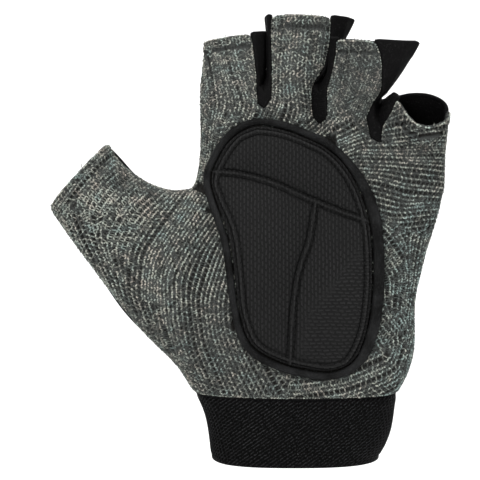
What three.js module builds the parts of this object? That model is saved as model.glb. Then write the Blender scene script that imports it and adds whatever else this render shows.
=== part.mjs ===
// A fingerless training glove for the left hand, in the form that a hand gives it. Lengths are millimetres.
// +Z runs up the fingers, -Y is the palm side and +X the little finger's side. The origin is the middle of
// the wrist opening. One cage of four-sided cells holds the whole glove's outer face, and each cloth panel
// is a set of its cells with a thickness.
import * as THREE from "three";

// Wrist band
const wristWidth = 68;
const wristDepth = 44;
const bandHeight = 27;
const bandWall = 1.8;
const bandDip = 1.6; // how much lower the band's edges run on the palm side than at mid-depth

// Palm
const heelWidth = 83.4;
const heelDepth = 43;
const heelShift = 0.7; // the heel's middle from the wrist's axis, towards the little finger
const knuckleWidth = 99;
const knuckleDepth = 32;
const knuckleShift = 12;
const palmLength = 128; // from the band to the root of the longest stub

// Finger stubs and thumb
const stubLength = 24.5; // the longest stub, measured along its middle
const stubDepth = 26;
const crotchDip = 3; // how far a gusset's fold sinks below the roots beside it
const thumbSpring = 2.5; // how far outside the knuckles' edge the thumb springs
const thumbReach = 58; // from there to the far corner of the thumb's opening
const thumbDepth = 37; // across the ball of the thumb

// Cloth
const meshWall = 1.8;
const stretchWall = 1.2;
const hemStep = 0.5; // a turned hem stands this much proud
const seamGap = 0.3;

// Palm pad
const padWidth = 71;
const padHeight = 104;
const padThickness = 5;
const padMiddleX = -2;
const padMiddleZ = 85.5;
const padSeat = 0.5; // clearance between the pad and the cloth that it is sewn to
const seatReach = 4.5; // the pad sits on the highest cloth within this distance
const edgingWidth = 3;
const edgingThickness = 2;
const quiltThickness = 1.7; // what is left of the pad under a seam
const quiltRoll = 2.6; // how fast the cushion rises beside a seam

// Cells of the cage
const fingerColumns = 4;
const crotchColumns = 2;
const sideColumns = 4;
const palmRows = 20;
const fingerRows = 5;
const bandRows = 4;
const thumbFirstRow = 2;
const thumbLastRow = 13;
const cornerAngle = 58; // where the front of a section ends and its side begins, in degrees from its front
const squareness = 2.6; // 2 is an ellipse, more is squarer
const openingEase = 0.6; // under 1, a stub opens fastest next to its root

// A row for each level of the palm: at is the share of its length, left and right go from the heel's edge at 0
// to the knuckles' edge at 1, ball is how far the thumb draws the left edge out, as a share of its reach, and
// front and back are shares of the depth there.
const palmLevels = [
  { at: 0.0, left: 0.0, right: 0.0, ball: 0.0, front: 0.5, back: 0.5 },
  { at: 0.06, left: 0.05, right: 0.13, ball: 0.08, front: 0.53, back: 0.49 },
  { at: 0.17, left: 0.1, right: 0.31, ball: 0.21, front: 0.56, back: 0.48 },
  { at: 0.38, left: 0.3, right: 0.33, ball: 0.2, front: 0.55, back: 0.48 },
  { at: 0.6, left: 0.6, right: 0.58, ball: 0.08, front: 0.52, back: 0.48 },
  { at: 0.78, left: 0.85, right: 0.79, ball: 0.0, front: 0.51, back: 0.47 },
  { at: 1.0, left: 1.0, right: 1.0, ball: 0.0, front: 0.5, back: 0.46 },
];

// A row for each level of the band: at is the share of its height, and left and right go from the wrist's edge
// at 0 to the heel's edge at 1. It stands loose on the little finger's side.
const bandLevels = [
  { at: 0.0, left: 0.0, right: 0.0 },
  { at: 0.25, left: 0.09, right: 0.5 },
  { at: 0.5, left: 0.22, right: 0.76 },
  { at: 0.75, left: 0.46, right: 0.84 },
  { at: 1.0, left: 1.0, right: 1.0 },
];

// A row for each stub. across: its root's middle from the knuckles' middle, and width: its root's width, as
// shares of the knuckles' width; drop: its root below the highest, as a share of the palm's length; forward: its
// root towards the palm side, and depth, as shares of the stub's depth; length: share of the longest; side and
// ahead: which way its middle runs, in degrees; flare and thin: the opening's width and depth by the root's;
// twist: how far its front turns to the thumb at the rim; flexRoot and flexRim: how far its rings lean to the
// palm side; leanRoot and leanRim: how far they lean to the little finger; seamLeft and seamRight: the ends of
// its front at the rim, in degrees from the front; tip: rows of the cage that the gusset beyond it reaches down
// the palm.
const stubs = [
  { name: "index", across: -0.382, width: 0.253, drop: 0.012, forward: -0.04, depth: 0.94, length: 0.75,
    side: 8, ahead: -11, leanRoot: 0, leanRim: -8, flare: 1.08, thin: 0.82, twist: -4,
    flexRoot: 27, flexRim: 0, seamLeft: 58, seamRight: 18, tip: 1 },
  { name: "middle", across: -0.132, width: 0.194, drop: 0.0, forward: 0.02, depth: 1.0, length: 1.0,
    side: 18, ahead: 2, leanRoot: 3, leanRim: 2, flare: 1.83, thin: 0.77, twist: -9,
    flexRoot: 27, flexRim: -2, seamLeft: 78, seamRight: 18, tip: 2 },
  { name: "ring", across: 0.089, width: 0.18, drop: 0.045, forward: 0.3, depth: 1.0, length: 0.94,
    side: 31, ahead: 26, leanRoot: 25, leanRim: 3, flare: 1.96, thin: 0.75, twist: -13,
    flexRoot: 27, flexRim: 8, seamLeft: 78, seamRight: -6, tip: 1 },
  { name: "little", across: 0.35, width: 0.29, drop: 0.184, forward: 0.42, depth: 0.92, length: 0.56,
    side: 14, ahead: 52, leanRoot: 18, leanRim: 0, flare: 0.8, thin: 0.96, twist: 0,
    flexRoot: 28, flexRim: 42, seamLeft: 66, seamRight: 58, tip: 0 },
];

// A row for each ring of the thumb. under and over are the ends of the ring at the outline's lower and upper
// edge: out is the share of the thumb's reach, up the share of the palm's length. deep is its depth as a share
// of the ball's, ahead its middle's place towards the palm side, and twist turns its front downwards.
const thumbRings = [
  { underOut: 0.31, underUp: 0.159, overOut: 0.07, overUp: 0.642, deep: 1.0, ahead: 0.08, twist: 0 },
  { underOut: 0.45, underUp: 0.236, overOut: 0.16, overUp: 0.636, deep: 0.98, ahead: 0.14, twist: 1 },
  { underOut: 0.59, underUp: 0.318, overOut: 0.26, overUp: 0.649, deep: 0.95, ahead: 0.18, twist: 3 },
  { underOut: 0.715, underUp: 0.393, overOut: 0.36, overUp: 0.668, deep: 0.9, ahead: 0.21, twist: 5 },
  { underOut: 0.83, underUp: 0.463, overOut: 0.455, overUp: 0.695, deep: 0.84, ahead: 0.23, twist: 8 },
  { underOut: 0.93, underUp: 0.525, overOut: 0.545, overUp: 0.732, deep: 0.79, ahead: 0.24, twist: 11 },
  { underOut: 1.0, underUp: 0.58, overOut: 0.61, overUp: 0.778, deep: 0.77, ahead: 0.24, twist: 14 },
];

// Swellings and folds of the palm side. along and up are the ends' places, from the knuckles' left edge as a share
// of their width and from the band as a share of the palm's length; rise and spread are shares of that length.
const reliefs = [
  { name: "ball of the thumb", along: 0.06, up: 0.24, toAlong: 0.2, toUp: 0.42, rise: 0.035, spread: 0.133 },
  { name: "heel's outer cushion", along: 0.74, up: 0.1, toAlong: 0.78, toUp: 0.5, rise: 0.0235, spread: 0.117 },
  { name: "hollow of the palm", along: 0.42, up: 0.3, toAlong: 0.5, toUp: 0.62, rise: -0.0195, spread: 0.117 },
  { name: "fold under the little stub", along: 0.985, up: 0.66, toAlong: 0.6, toUp: 0.42, rise: 0.0125, spread: 0.035 },
  { name: "crease under the stubs", along: 0.8, up: 0.78, toAlong: 1.0, toUp: 0.77, rise: 0.0094, spread: 0.031 },
];

// Places where the cloth is drawn along between the fingers. across and up are the place, from the knuckles' middle
// as a share of their width and from the band as a share of the palm's length; right and rise are how far the cloth
// is drawn, and spread is how far round the place this is felt, as shares of that length.
const pulls = [
  { name: "ring stub's outer side", across: 0.165, up: 0.905, right: 0.039, rise: 0, spread: 0.051 },
  { name: "web beside the ring stub", across: 0.225, up: 0.87, right: 0, rise: 0.039, spread: 0.039 },
  { name: "little stub's inner corner", across: 0.288, up: 0.855, right: 0.012, rise: 0.0625, spread: 0.035 },
];

// The pad's outline and its two quilting seams, as shares of half its width and half its height.
const padOutline = [
  [-0.393, 1.0], [-0.098, 0.97], [0.197, 0.9], [0.481, 0.789], [0.721, 0.619], [0.885, 0.404], [0.973, 0.144],
  [1.0, -0.13], [0.984, -0.404], [0.907, -0.685], [0.721, -0.922], [0.448, -1.0], [0.12, -0.978],
  [-0.219, -0.907], [-0.503, -0.778], [-0.661, -0.522], [-0.71, -0.241], [-0.776, 0.085], [-0.918, 0.322],
  [-0.995, 0.5], [-0.896, 0.704], [-0.678, 0.907],
];
const crosswiseSeam = [[-0.93, 0.582], [-0.568, 0.559], [-0.24, 0.5], [0.066, 0.411], [0.284, 0.345], [0.579, 0.263],
  [0.93, 0.18]];
const lengthwiseSeam = [[0.284, 0.345], [0.208, 0.056], [0.126, -0.107], [0.066, -0.263], [0.019, -0.507],
  [-0.016, -0.88]];
const crossing = crosswiseSeam[4];
const padCorners = { lowerLeft: [-0.57, -0.7], lowerRight: [0.82, -0.83], upperRight: [0.64, 0.69],
  upperLeft: [-0.8, 0.83], top: [0.05, 0.94] };
const blockShares = [0, 0.08, 0.24, 0.42, 0.58, 0.76, 0.92, 1];

const lerp = THREE.MathUtils.lerp;
const degrees = THREE.MathUtils.degToRad;
const smooth = (x, from, to) => THREE.MathUtils.smoothstep(x, from, to);

// The value of one column of a table at a share, on a smooth curve through its rows.
function levelValue(rows, column, at) {
  const last = rows.length - 1;
  let i = 0;
  while (i < last - 1 && rows[i + 1].at < at) i += 1;
  const [a, b] = [rows[i], rows[i + 1]];
  const span = b.at - a.at;
  const slope = (p, q) => (rows[q][column] - rows[p][column]) / (rows[q].at - rows[p].at);
  const slopeA = slope(Math.max(i - 1, 0), i + 1) * span;
  const slopeB = slope(i, Math.min(i + 2, last)) * span;
  const t = (at - a.at) / span;
  const [t2, t3] = [t * t, t * t * t];
  return (
    a[column] * (2 * t3 - 3 * t2 + 1) +
    slopeA * (t3 - 2 * t2 + t) +
    b[column] * (3 * t2 - 2 * t3) +
    slopeB * (t3 - t2)
  );
}

// The places of a section's outline, a rounded square of half-size 1: at an angle from its front, and across it.
const power = (value) => Math.sign(value) * Math.pow(Math.abs(value), 2 / squareness);
const outlineAt = (angle) => [power(Math.sin(degrees(angle))), power(Math.cos(degrees(angle)))];
const depthAt = (x) => Math.pow(1 - Math.pow(Math.abs(x), squareness), 1 / squareness);

// The points round a section: along its front, its far side, its back and its near side. frontShares places the
// front's and back's points from 0 to 1, and seams are the front's ends in degrees.
function sectionShares(frontShares, seams = { left: cornerAngle, right: cornerAngle }) {
  const across = (from, to) => frontShares.map((t) => lerp(outlineAt(from)[0], outlineAt(to)[0], t));
  const steps = Array.from({ length: sideColumns - 1 }, (_, i) => (i + 1) / sideColumns);
  const backCorner = 180 - cornerAngle;
  return [
    ...across(-seams.left, seams.right).map((x) => [x, depthAt(x)]),
    ...steps.map((t) => outlineAt(lerp(seams.right, backCorner, t))),
    ...across(-backCorner, backCorner).reverse().map((x) => [x, -depthAt(x)]),
    ...steps.map((t) => outlineAt(lerp(-backCorner, -seams.left, t))),
  ];
}

const evenShares = (count) => Array.from({ length: count + 1 }, (_, i) => i / count);

// A ring of points about a middle: right and front are unit vectors, with half-sizes along them.
function ring(middle, right, front, halfWidth, halfDepth, shares) {
  return shares.map(([x, y]) =>
    middle.clone().addScaledVector(right, x * halfWidth).addScaledVector(front, y * halfDepth),
  );
}

// Places across and along the palm
const frontColumns = stubs.length * fingerColumns + (stubs.length - 1) * crotchColumns;
const ringCount = 2 * (frontColumns + sideColumns);
const palmBase = bandHeight;
const knuckleLeft = knuckleShift - knuckleWidth / 2;
const backOf = (column) => 2 * frontColumns + sideColumns - column;
const firstColumn = (stub) => stub * (fingerColumns + crotchColumns);

// The frame of a stub's ring at a share of its length: its middle, and its right and front directions.
function stubRing(stub, share) {
  const root = new THREE.Vector3(
    knuckleShift + stub.across * knuckleWidth,
    -stub.forward * stubDepth,
    palmBase + palmLength * (1 - stub.drop),
  );
  const opened = Math.pow(share, openingEase);
  const run = new THREE.Vector3(Math.tan(degrees(stub.side)), -Math.tan(degrees(stub.ahead)), 1).normalize();
  run.multiplyScalar(stub.length * stubLength).multiply(new THREE.Vector3(opened, opened, share));
  const middle = root.add(run);
  const flex = degrees(lerp(stub.flexRoot, stub.flexRim, share));
  const lean = degrees(lerp(stub.leanRoot, stub.leanRim, share));
  const twist = degrees(stub.twist * opened);
  const axis = new THREE.Vector3(Math.sin(lean), -Math.sin(flex), Math.cos(flex)).normalize();
  const front = new THREE.Vector3(-Math.sin(twist), -Math.cos(twist), 0);
  front.addScaledVector(axis, -front.dot(axis)).normalize();
  const right = new THREE.Vector3().crossVectors(axis, front);
  const halfWidth = (stub.width * knuckleWidth * lerp(1, stub.flare, opened)) / 2;
  const halfDepth = (stub.depth * stubDepth * lerp(1, stub.thin, opened)) / 2;
  const seam = (rim) => lerp(cornerAngle, rim, opened);
  const seams = { left: seam(stub.seamLeft), right: seam(stub.seamRight) };
  return ring(middle, right, front, halfWidth, halfDepth, sectionShares(evenShares(fingerColumns), seams));
}

const cage = { points: [], cells: [] };
const addPoint = (point) => cage.points.push(point) - 1;
const addCell = (panel, corners) => cage.cells.push({ panel, corners });

// The fold of a gusset between two stubs, front to back, one row for each step and one entry for each column.
function crotchRows(left, right) {
  const sideIndex = (s) => fingerColumns + s;
  const facing = (s) => (3 * fingerColumns + 2 * sideColumns - s - fingerColumns) % right.length;
  return Array.from({ length: sideColumns + 1 }, (_, s) => {
    const from = left[sideIndex(s)];
    const to = right[facing(s)];
    return Array.from({ length: crotchColumns + 1 }, (_, c) => {
      const t = c / crotchColumns;
      const sag = 4 * t * (1 - t) * crotchDip * (1 - s / sideColumns);
      const point = from.clone().lerp(to, t);
      return point.add(new THREE.Vector3(0, 0, -sag));
    });
  });
}

const roots = stubs.map((stub) => stubRing(stub, 0));
const crotches = roots.slice(1).map((right, i) => crotchRows(roots[i], right));

// The palm's top row: the roots' fronts and backs with the crotches' edges between them.
function palmTop() {
  const top = new Array(ringCount);
  stubs.forEach((_, f) => {
    for (let c = 0; c <= fingerColumns; c += 1) {
      top[firstColumn(f) + c] = roots[f][c];
      top[backOf(firstColumn(f) + c)] = roots[f][2 * fingerColumns + sideColumns - c];
    }
    if (f === stubs.length - 1) return;
    for (let c = 1; c < crotchColumns; c += 1) {
      const column = firstColumn(f) + fingerColumns + c;
      top[column] = crotches[f][0][c];
      top[backOf(column)] = crotches[f][sideColumns][c];
    }
  });
  for (let s = 1; s < sideColumns; s += 1) {
    top[frontColumns + s] = roots[stubs.length - 1][fingerColumns + s];
    top[2 * frontColumns + sideColumns + s] = roots[0][2 * fingerColumns + sideColumns + s];
  }
  return top;
}

// The palm's own section at a share of its length, before it turns into the roots.
function palmSection(at, frontShares) {
  const edge = (side, heel, knuckle) => lerp(heel, knuckle, levelValue(palmLevels, side, at));
  const ball = levelValue(palmLevels, "ball", at) * thumbReach;
  const left = edge("left", heelShift - heelWidth / 2, knuckleLeft) - ball;
  const right = edge("right", heelShift + heelWidth / 2, knuckleLeft + knuckleWidth);
  const depth = lerp(heelDepth, knuckleDepth, smooth(at, 0, 0.8));
  const front = -depth * levelValue(palmLevels, "front", at);
  const back = depth * levelValue(palmLevels, "back", at);
  const middle = new THREE.Vector3((left + right) / 2, (front + back) / 2, 0);
  const across = new THREE.Vector3(1, 0, 0);
  const ahead = new THREE.Vector3(0, -1, 0);
  return ring(middle, across, ahead, (right - left) / 2, (back - front) / 2, sectionShares(frontShares));
}

// How much lower a point of the band's edges runs on the palm side.
const dipAt = (y) => (bandDip * 2 * y) / heelDepth;

const top = palmTop();
const topShares = top
  .slice(0, frontColumns + 1)
  .map((p) => (p.x - top[0].x) / (top[frontColumns].x - top[0].x));
const palmIds = Array.from({ length: palmRows + 1 }, (_, row) => {
  const at = row / palmRows;
  const frontShares = topShares.map((share, i) => lerp(i / frontColumns, share, at));
  const section = palmSection(at, frontShares);
  const turn = smooth(at, 0.5, 1);
  return section.map((point, i) => {
    const height = lerp(palmBase + dipAt(point.y), top[i].z, at);
    return addPoint(new THREE.Vector3(lerp(point.x, top[i].x, turn), lerp(point.y, top[i].y, turn), height));
  });
});

const half = sideColumns / 2;
const leftSide = 2 * frontColumns + sideColumns;
const isPalmSide = (i) =>
  i < frontColumns + half || i >= leftSide + half;
const gussetNames = stubs.slice(1).map((stub, i) => `gusset_${stubs[i].name}_${stub.name}`);

// The panel that a cell of the palm belongs to.
function palmPanel(row, i) {
  const column = i < frontColumns ? i : backOf(i + 1);
  const inCrotch = column % (fingerColumns + crotchColumns) >= fingerColumns && column < frontColumns;
  const onFace = i < frontColumns || (i >= frontColumns + sideColumns && i < leftSide);
  const gusset = Math.floor(column / (fingerColumns + crotchColumns));
  if (onFace && inCrotch) {
    const reach = i < frontColumns ? stubs[gusset].tip : 1;
    if (row >= palmRows - reach) return gussetNames[gusset];
  }
  return isPalmSide(i) ? "palm_panel" : "back_panel";
}

const inThumbHole = (row, i) =>
  row >= thumbFirstRow && row < thumbLastRow && (i === 0 || i >= leftSide - 1);
for (let row = 0; row < palmRows; row += 1) {
  for (let i = 0; i < ringCount; i += 1) {
    if (inThumbHole(row, i)) continue;
    const next = (i + 1) % ringCount;
    addCell(palmPanel(row, i), [palmIds[row][i], palmIds[row][next], palmIds[row + 1][next], palmIds[row + 1][i]]);
  }
}

// Gussets' folds
const topIds = palmIds[palmRows];
const crotchIds = crotches.map((rows, g) =>
  rows.map((points, s) =>
    points.map((point, c) => {
      const column = firstColumn(g) + fingerColumns + c;
      if (s === 0) return topIds[column];
      if (s === sideColumns) return topIds[backOf(column)];
      return addPoint(point);
    }),
  ),
);
crotchIds.forEach((rows, g) => {
  for (let s = 0; s < sideColumns; s += 1) {
    for (let c = 0; c < crotchColumns; c += 1) {
      addCell(gussetNames[g], [rows[s][c], rows[s][c + 1], rows[s + 1][c + 1], rows[s + 1][c]]);
    }
  }
});

// Finger stubs
const stubCount = 2 * (fingerColumns + sideColumns);
const rims = [];
function rootIds(f) {
  const ids = new Array(stubCount);
  for (let c = 0; c <= fingerColumns; c += 1) {
    ids[c] = topIds[firstColumn(f) + c];
    ids[2 * fingerColumns + sideColumns - c] = topIds[backOf(firstColumn(f) + c)];
  }
  for (let s = 1; s < sideColumns; s += 1) {
    const last = f === stubs.length - 1;
    ids[fingerColumns + s] = last ? topIds[frontColumns + s] : crotchIds[f][s][0];
    ids[2 * fingerColumns + sideColumns + s] =
      f === 0 ? topIds[leftSide + s] : crotchIds[f - 1][sideColumns - s][crotchColumns];
  }
  return ids;
}
function stubPanel(f, i) {
  if (i < fingerColumns) return "palm_panel";
  if (i < fingerColumns + sideColumns) {
    if (f < stubs.length - 1) return gussetNames[f];
    return i < fingerColumns + half ? "palm_panel" : "back_panel";
  }
  if (i < 2 * fingerColumns + sideColumns) return "back_panel";
  if (f > 0) return gussetNames[f - 1];
  return i >= 2 * fingerColumns + sideColumns + half ? "palm_panel" : "back_panel";
}
stubs.forEach((stub, f) => {
  let below = rootIds(f);
  for (let row = 1; row <= fingerRows; row += 1) {
    const ids = stubRing(stub, row / fingerRows).map(addPoint);
    for (let i = 0; i < stubCount; i += 1) {
      const next = (i + 1) % stubCount;
      addCell(stubPanel(f, i), [below[i], below[next], ids[next], ids[i]]);
    }
    below = ids;
  }
  rims.push(below);
});

// Thumb: rings that open out of the hole in the palm's near side
const holeRows = thumbLastRow - thumbFirstRow;
function thumbHoleIds() {
  const ids = [palmIds[thumbFirstRow][0]];
  for (let row = thumbFirstRow; row <= thumbLastRow; row += 1) ids.push(palmIds[row][1]);
  ids.push(palmIds[thumbLastRow][0]);
  for (let s = sideColumns - 1; s > 0; s -= 1) ids.push(palmIds[thumbLastRow][leftSide + s]);
  ids.push(palmIds[thumbLastRow][leftSide]);
  for (let row = thumbLastRow; row >= thumbFirstRow; row -= 1) ids.push(palmIds[row][leftSide - 1]);
  for (let s = 0; s < sideColumns; s += 1) ids.push(palmIds[thumbFirstRow][leftSide + s]);
  return ids;
}
const thumbFront = holeRows + 2;
const thumbCount = 2 * (thumbFront + sideColumns);
const palmEdge = knuckleLeft - thumbSpring;
function thumbRing(row) {
  const place = (out, up) => new THREE.Vector3(palmEdge - out * thumbReach, 0, palmBase + up * palmLength);
  const under = place(row.underOut, row.underUp);
  const over = place(row.overOut, row.overUp);
  const right = over.clone().sub(under).normalize();
  const middle = under.clone().add(over).multiplyScalar(0.5);
  middle.y = -row.ahead * thumbDepth;
  const front = new THREE.Vector3(0, -1, 0);
  const axis = new THREE.Vector3().crossVectors(front, right);
  front.applyAxisAngle(axis, degrees(row.twist));
  right.applyAxisAngle(axis, degrees(row.twist));
  const shares = sectionShares(evenShares(thumbFront));
  return ring(middle, right, front, under.distanceTo(over) / 2, (row.deep * thumbDepth) / 2, shares);
}
function thumbPanel(i) {
  const isFront = i < thumbFront + half || i >= 2 * thumbFront + sideColumns + half;
  return isFront ? "palm_panel" : "back_panel";
}
let thumbBelow = thumbHoleIds();
for (const row of thumbRings) {
  const ids = thumbRing(row).map(addPoint);
  for (let i = 0; i < thumbCount; i += 1) {
    const next = (i + 1) % thumbCount;
    addCell(thumbPanel(i), [thumbBelow[i], thumbBelow[next], ids[next], ids[i]]);
  }
  thumbBelow = ids;
}
rims.push(thumbBelow);

// Wrist band
const bandIds = Array.from({ length: bandRows + 1 }, (_, row) => {
  if (row === bandRows) return palmIds[0];
  const at = row / bandRows;
  const edge = (side, wrist, heel) => lerp(wrist, heel, levelValue(bandLevels, side, at));
  const left = edge("left", -wristWidth / 2, heelShift - heelWidth / 2);
  const right = edge("right", wristWidth / 2, heelShift + heelWidth / 2);
  const depth = lerp(wristDepth, heelDepth, at);
  const middle = new THREE.Vector3((left + right) / 2, 0, at * bandHeight);
  const shares = sectionShares(evenShares(frontColumns));
  const across = new THREE.Vector3(1, 0, 0);
  const ahead = new THREE.Vector3(0, -1, 0);
  return ring(middle, across, ahead, (right - left) / 2, depth / 2, shares).map((point) => {
    point.z += dipAt(point.y);
    return addPoint(point);
  });
});
for (let row = 0; row < bandRows; row += 1) {
  for (let i = 0; i < ringCount; i += 1) {
    const next = (i + 1) % ringCount;
    addCell("wrist_band", [bandIds[row][i], bandIds[row][next], bandIds[row + 1][next], bandIds[row + 1][i]]);
  }
}

// Outward directions at the cage's points, from the cells around each
function outwardDirections() {
  const sums = cage.points.map(() => new THREE.Vector3());
  for (const { corners } of cage.cells) {
    const [a, b, c, d] = corners.map((id) => cage.points[id]);
    const facing = new THREE.Vector3().crossVectors(c.clone().sub(a), d.clone().sub(b));
    corners.forEach((id) => sums[id].add(facing));
  }
  return sums.map((sum) => sum.normalize());
}

// How far a relief raises a point that faces the palm side.
function reliefRise(relief, point) {
  const place = (along, up) => new THREE.Vector2(knuckleLeft + along * knuckleWidth, palmBase + up * palmLength);
  const from = place(relief.along, relief.up);
  const to = place(relief.toAlong, relief.toUp);
  const here = new THREE.Vector2(point.x, point.z);
  const line = to.clone().sub(from);
  const share = THREE.MathUtils.clamp(here.clone().sub(from).dot(line) / line.lengthSq(), 0, 1);
  const away = here.distanceTo(from.addScaledVector(line, share)) / (relief.spread * palmLength);
  return relief.rise * palmLength * Math.exp(-away * away);
}
const bandPoints = new Set(bandIds.flat());
outwardDirections().forEach((out, id) => {
  const point = cage.points[id];
  if (bandPoints.has(id) || out.y > 0) return;
  const rise = reliefs.reduce((sum, relief) => sum + reliefRise(relief, point), 0);
  point.addScaledVector(out, rise * smooth(-out.y, 0, 0.6));
});

// How far the pulls draw a point of the cloth.
function drawnBy(point) {
  return pulls.reduce((sum, pull) => {
    const from = new THREE.Vector2(knuckleShift + pull.across * knuckleWidth, palmBase + pull.up * palmLength);
    const away = from.distanceTo(new THREE.Vector2(point.x, point.z)) / (pull.spread * palmLength);
    const drawn = new THREE.Vector3(pull.right, 0, pull.rise).multiplyScalar(palmLength);
    return sum.addScaledVector(drawn, Math.exp(-away * away));
  }, new THREE.Vector3());
}
cage.points.forEach((point) => point.add(drawnBy(point)));

const hemPoints = new Set(rims.flat());
const outward = outwardDirections();

// A closed solid from four-sided faces, each split the same way.
function solid(points, faces) {
  const positions = points.flatMap((point) => point.toArray());
  const geometry = new THREE.BufferGeometry();
  geometry.setAttribute("position", new THREE.Float32BufferAttribute(positions, 3));
  geometry.setIndex(faces.flatMap(([a, b, c, d]) => [a, b, c, a, c, d]));
  geometry.computeVertexNormals();
  return geometry;
}

// The edges that only one of these cells has, with the panel's points that neighbour each end.
function openEdges(cells) {
  const seen = new Map();
  for (const { corners } of cells) {
    corners.forEach((id, k) => {
      const next = corners[(k + 1) % 4];
      const key = `${Math.min(id, next)} ${Math.max(id, next)}`;
      if (seen.has(key)) seen.set(key, null);
      else seen.set(key, [id, next]);
    });
  }
  return [...seen.values()].filter(Boolean);
}

// One panel of cloth: its cells' outer faces, the same faces a wall deeper, and rims between them. Its sewn edges
// stand back half the gap that it keeps to its neighbours.
function panelSolid(panel, wall) {
  const cells = cage.cells.filter((cell) => cell.panel === panel);
  const elsewhere = new Set(cage.cells.filter((cell) => cell.panel !== panel).flatMap((cell) => cell.corners));
  const edges = openEdges(cells);
  const back = new Map();
  for (const [from, to] of edges) {
    if (!elsewhere.has(from) || !elsewhere.has(to)) continue;
    const along = cage.points[to].clone().sub(cage.points[from]);
    const inward = new THREE.Vector3().crossVectors(outward[from].clone().add(outward[to]), along).normalize();
    for (const id of [from, to]) back.set(id, (back.get(id) ?? new THREE.Vector3()).add(inward));
  }
  const ids = [...new Set(cells.flatMap((cell) => cell.corners))];
  const index = new Map(ids.map((id, i) => [id, i]));
  const outer = ids.map((id) => {
    const point = cage.points[id].clone();
    if (back.has(id)) point.addScaledVector(back.get(id).normalize(), seamGap / 2);
    return point;
  });
  const inner = ids.map((id, i) => outer[i].clone().addScaledVector(outward[id], -wall));
  ids.forEach((id, i) => {
    if (hemPoints.has(id)) outer[i].addScaledVector(outward[id], hemStep);
  });
  const shift = ids.length;
  const faces = cells.map(({ corners }) => corners.map((id) => index.get(id)));
  const under = faces.map(([a, b, c, d]) => [a, d, c, b].map((i) => i + shift));
  const rim = edges.map(([a, b]) => {
    const [i, j] = [index.get(a), index.get(b)];
    return a < b ? [i, i + shift, j + shift, j] : [j, i, i + shift, j + shift];
  });
  return solid([...outer, ...inner], [...faces, ...under, ...rim]);
}

// The palm panel's outer face, to seat the pad on
const palmFace = new THREE.Mesh(
  solid(
    cage.points,
    cage.cells.filter((cell) => cell.panel === "palm_panel").map((cell) => cell.corners),
  ),
);
const caster = new THREE.Raycaster();
const farInFront = -500;
const seatSamples = 8;
function faceDepthAt(x, z) {
  caster.set(new THREE.Vector3(x, farInFront, z), new THREE.Vector3(0, 1, 0));
  const [hit] = caster.intersectObject(palmFace);
  return hit ? hit.point.y : Infinity;
}
function palmDepthAt(x, z) {
  const around = [faceDepthAt(x, z)];
  for (let i = 0; i < seatSamples; i += 1) {
    const angle = (2 * Math.PI * i) / seatSamples;
    around.push(faceDepthAt(x + seatReach * Math.cos(angle), z + seatReach * Math.sin(angle)));
  }
  return Math.min(...around);
}

// Pad: places on it are flat until they are laid on the palm.
const padPlace = ([x, z]) => new THREE.Vector3((x * padWidth) / 2, 0, (z * padHeight) / 2);
const onPalm = (flat, height) => {
  const x = flat.x + padMiddleX;
  const z = flat.z + padMiddleZ;
  return new THREE.Vector3(x, palmDepthAt(x, z) - padSeat - height, z);
};
const outline = new THREE.CatmullRomCurve3(padOutline.map(padPlace), true, "centripetal");
const crosswise = new THREE.CatmullRomCurve3(crosswiseSeam.map(padPlace));
const lengthwise = new THREE.CatmullRomCurve3(lengthwiseSeam.map(padPlace));

// The share of a curve's length at which it comes nearest to a place.
function nearestShare(curve, place) {
  const searchSteps = 600;
  const away = (share) => curve.getPointAt(share).distanceTo(place);
  return evenShares(searchSteps).reduce((best, share) => (away(share) < away(best) ? share : best));
}

// The outline at a share of its length, and the same place moved inwards.
function outlinePoint(share, inset) {
  const at = ((share % 1) + 1) % 1;
  const along = outline.getTangentAt(at);
  const inward = new THREE.Vector3(-along.z, 0, along.x);
  const toMiddle = outline.getPointAt(at).negate();
  if (inward.dot(toMiddle) < 0) inward.negate();
  return outline.getPointAt(at).addScaledVector(inward, inset);
}

// The outline's eight stops, clockwise: the seams' ends, the cushion's corners and the top.
const stops = [
  lengthwiseSeam.at(-1), padCorners.lowerLeft, crosswiseSeam[0], padCorners.upperLeft, padCorners.top,
  padCorners.upperRight, crosswiseSeam.at(-1), padCorners.lowerRight,
].map((place) => nearestShare(outline, padPlace(place)));
const [bottomStop, lowerLeftStop, leftStop, upperLeftStop, topStop, upperRightStop, rightStop, lowerRightStop] = stops;

// A run of the outline from one stop to another, at the block's shares, by the shorter way round.
function outlineRun(from, to, inset) {
  let step = to - from;
  if (step > 0.5) step -= 1;
  if (step < -0.5) step += 1;
  return blockShares.map((share) => outlinePoint(from + step * share, inset));
}
const crossShare = nearestShare(crosswise, padPlace(crossing));
const curveRun = (curve, from, to) => blockShares.map((share) => curve.getPointAt(lerp(from, to, share)));
const cushionInset = edgingWidth + seamGap;

// Ends that meet the outline are pulled onto the cushion's edge.
function pulled(run, first, last) {
  const shiftFirst = first.clone().sub(run[0]);
  const shiftLast = last.clone().sub(run.at(-1));
  return run.map((point, i) =>
    point
      .clone()
      .addScaledVector(shiftFirst, 1 - blockShares[i])
      .addScaledVector(shiftLast, blockShares[i]),
  );
}
const edgeAt = (stop) => outlinePoint(stop, cushionInset);
const middlePoint = padPlace(crossing);
const leftSeam = pulled(curveRun(crosswise, 0, crossShare), edgeAt(leftStop), middlePoint);
const rightSeam = pulled(curveRun(crosswise, crossShare, 1), middlePoint, edgeAt(rightStop));
const lowerSeam = pulled(curveRun(lengthwise, 0, 1), middlePoint, edgeAt(bottomStop));
const upperLine = blockShares.map((share) => middlePoint.clone().lerp(edgeAt(topStop), share));

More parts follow.
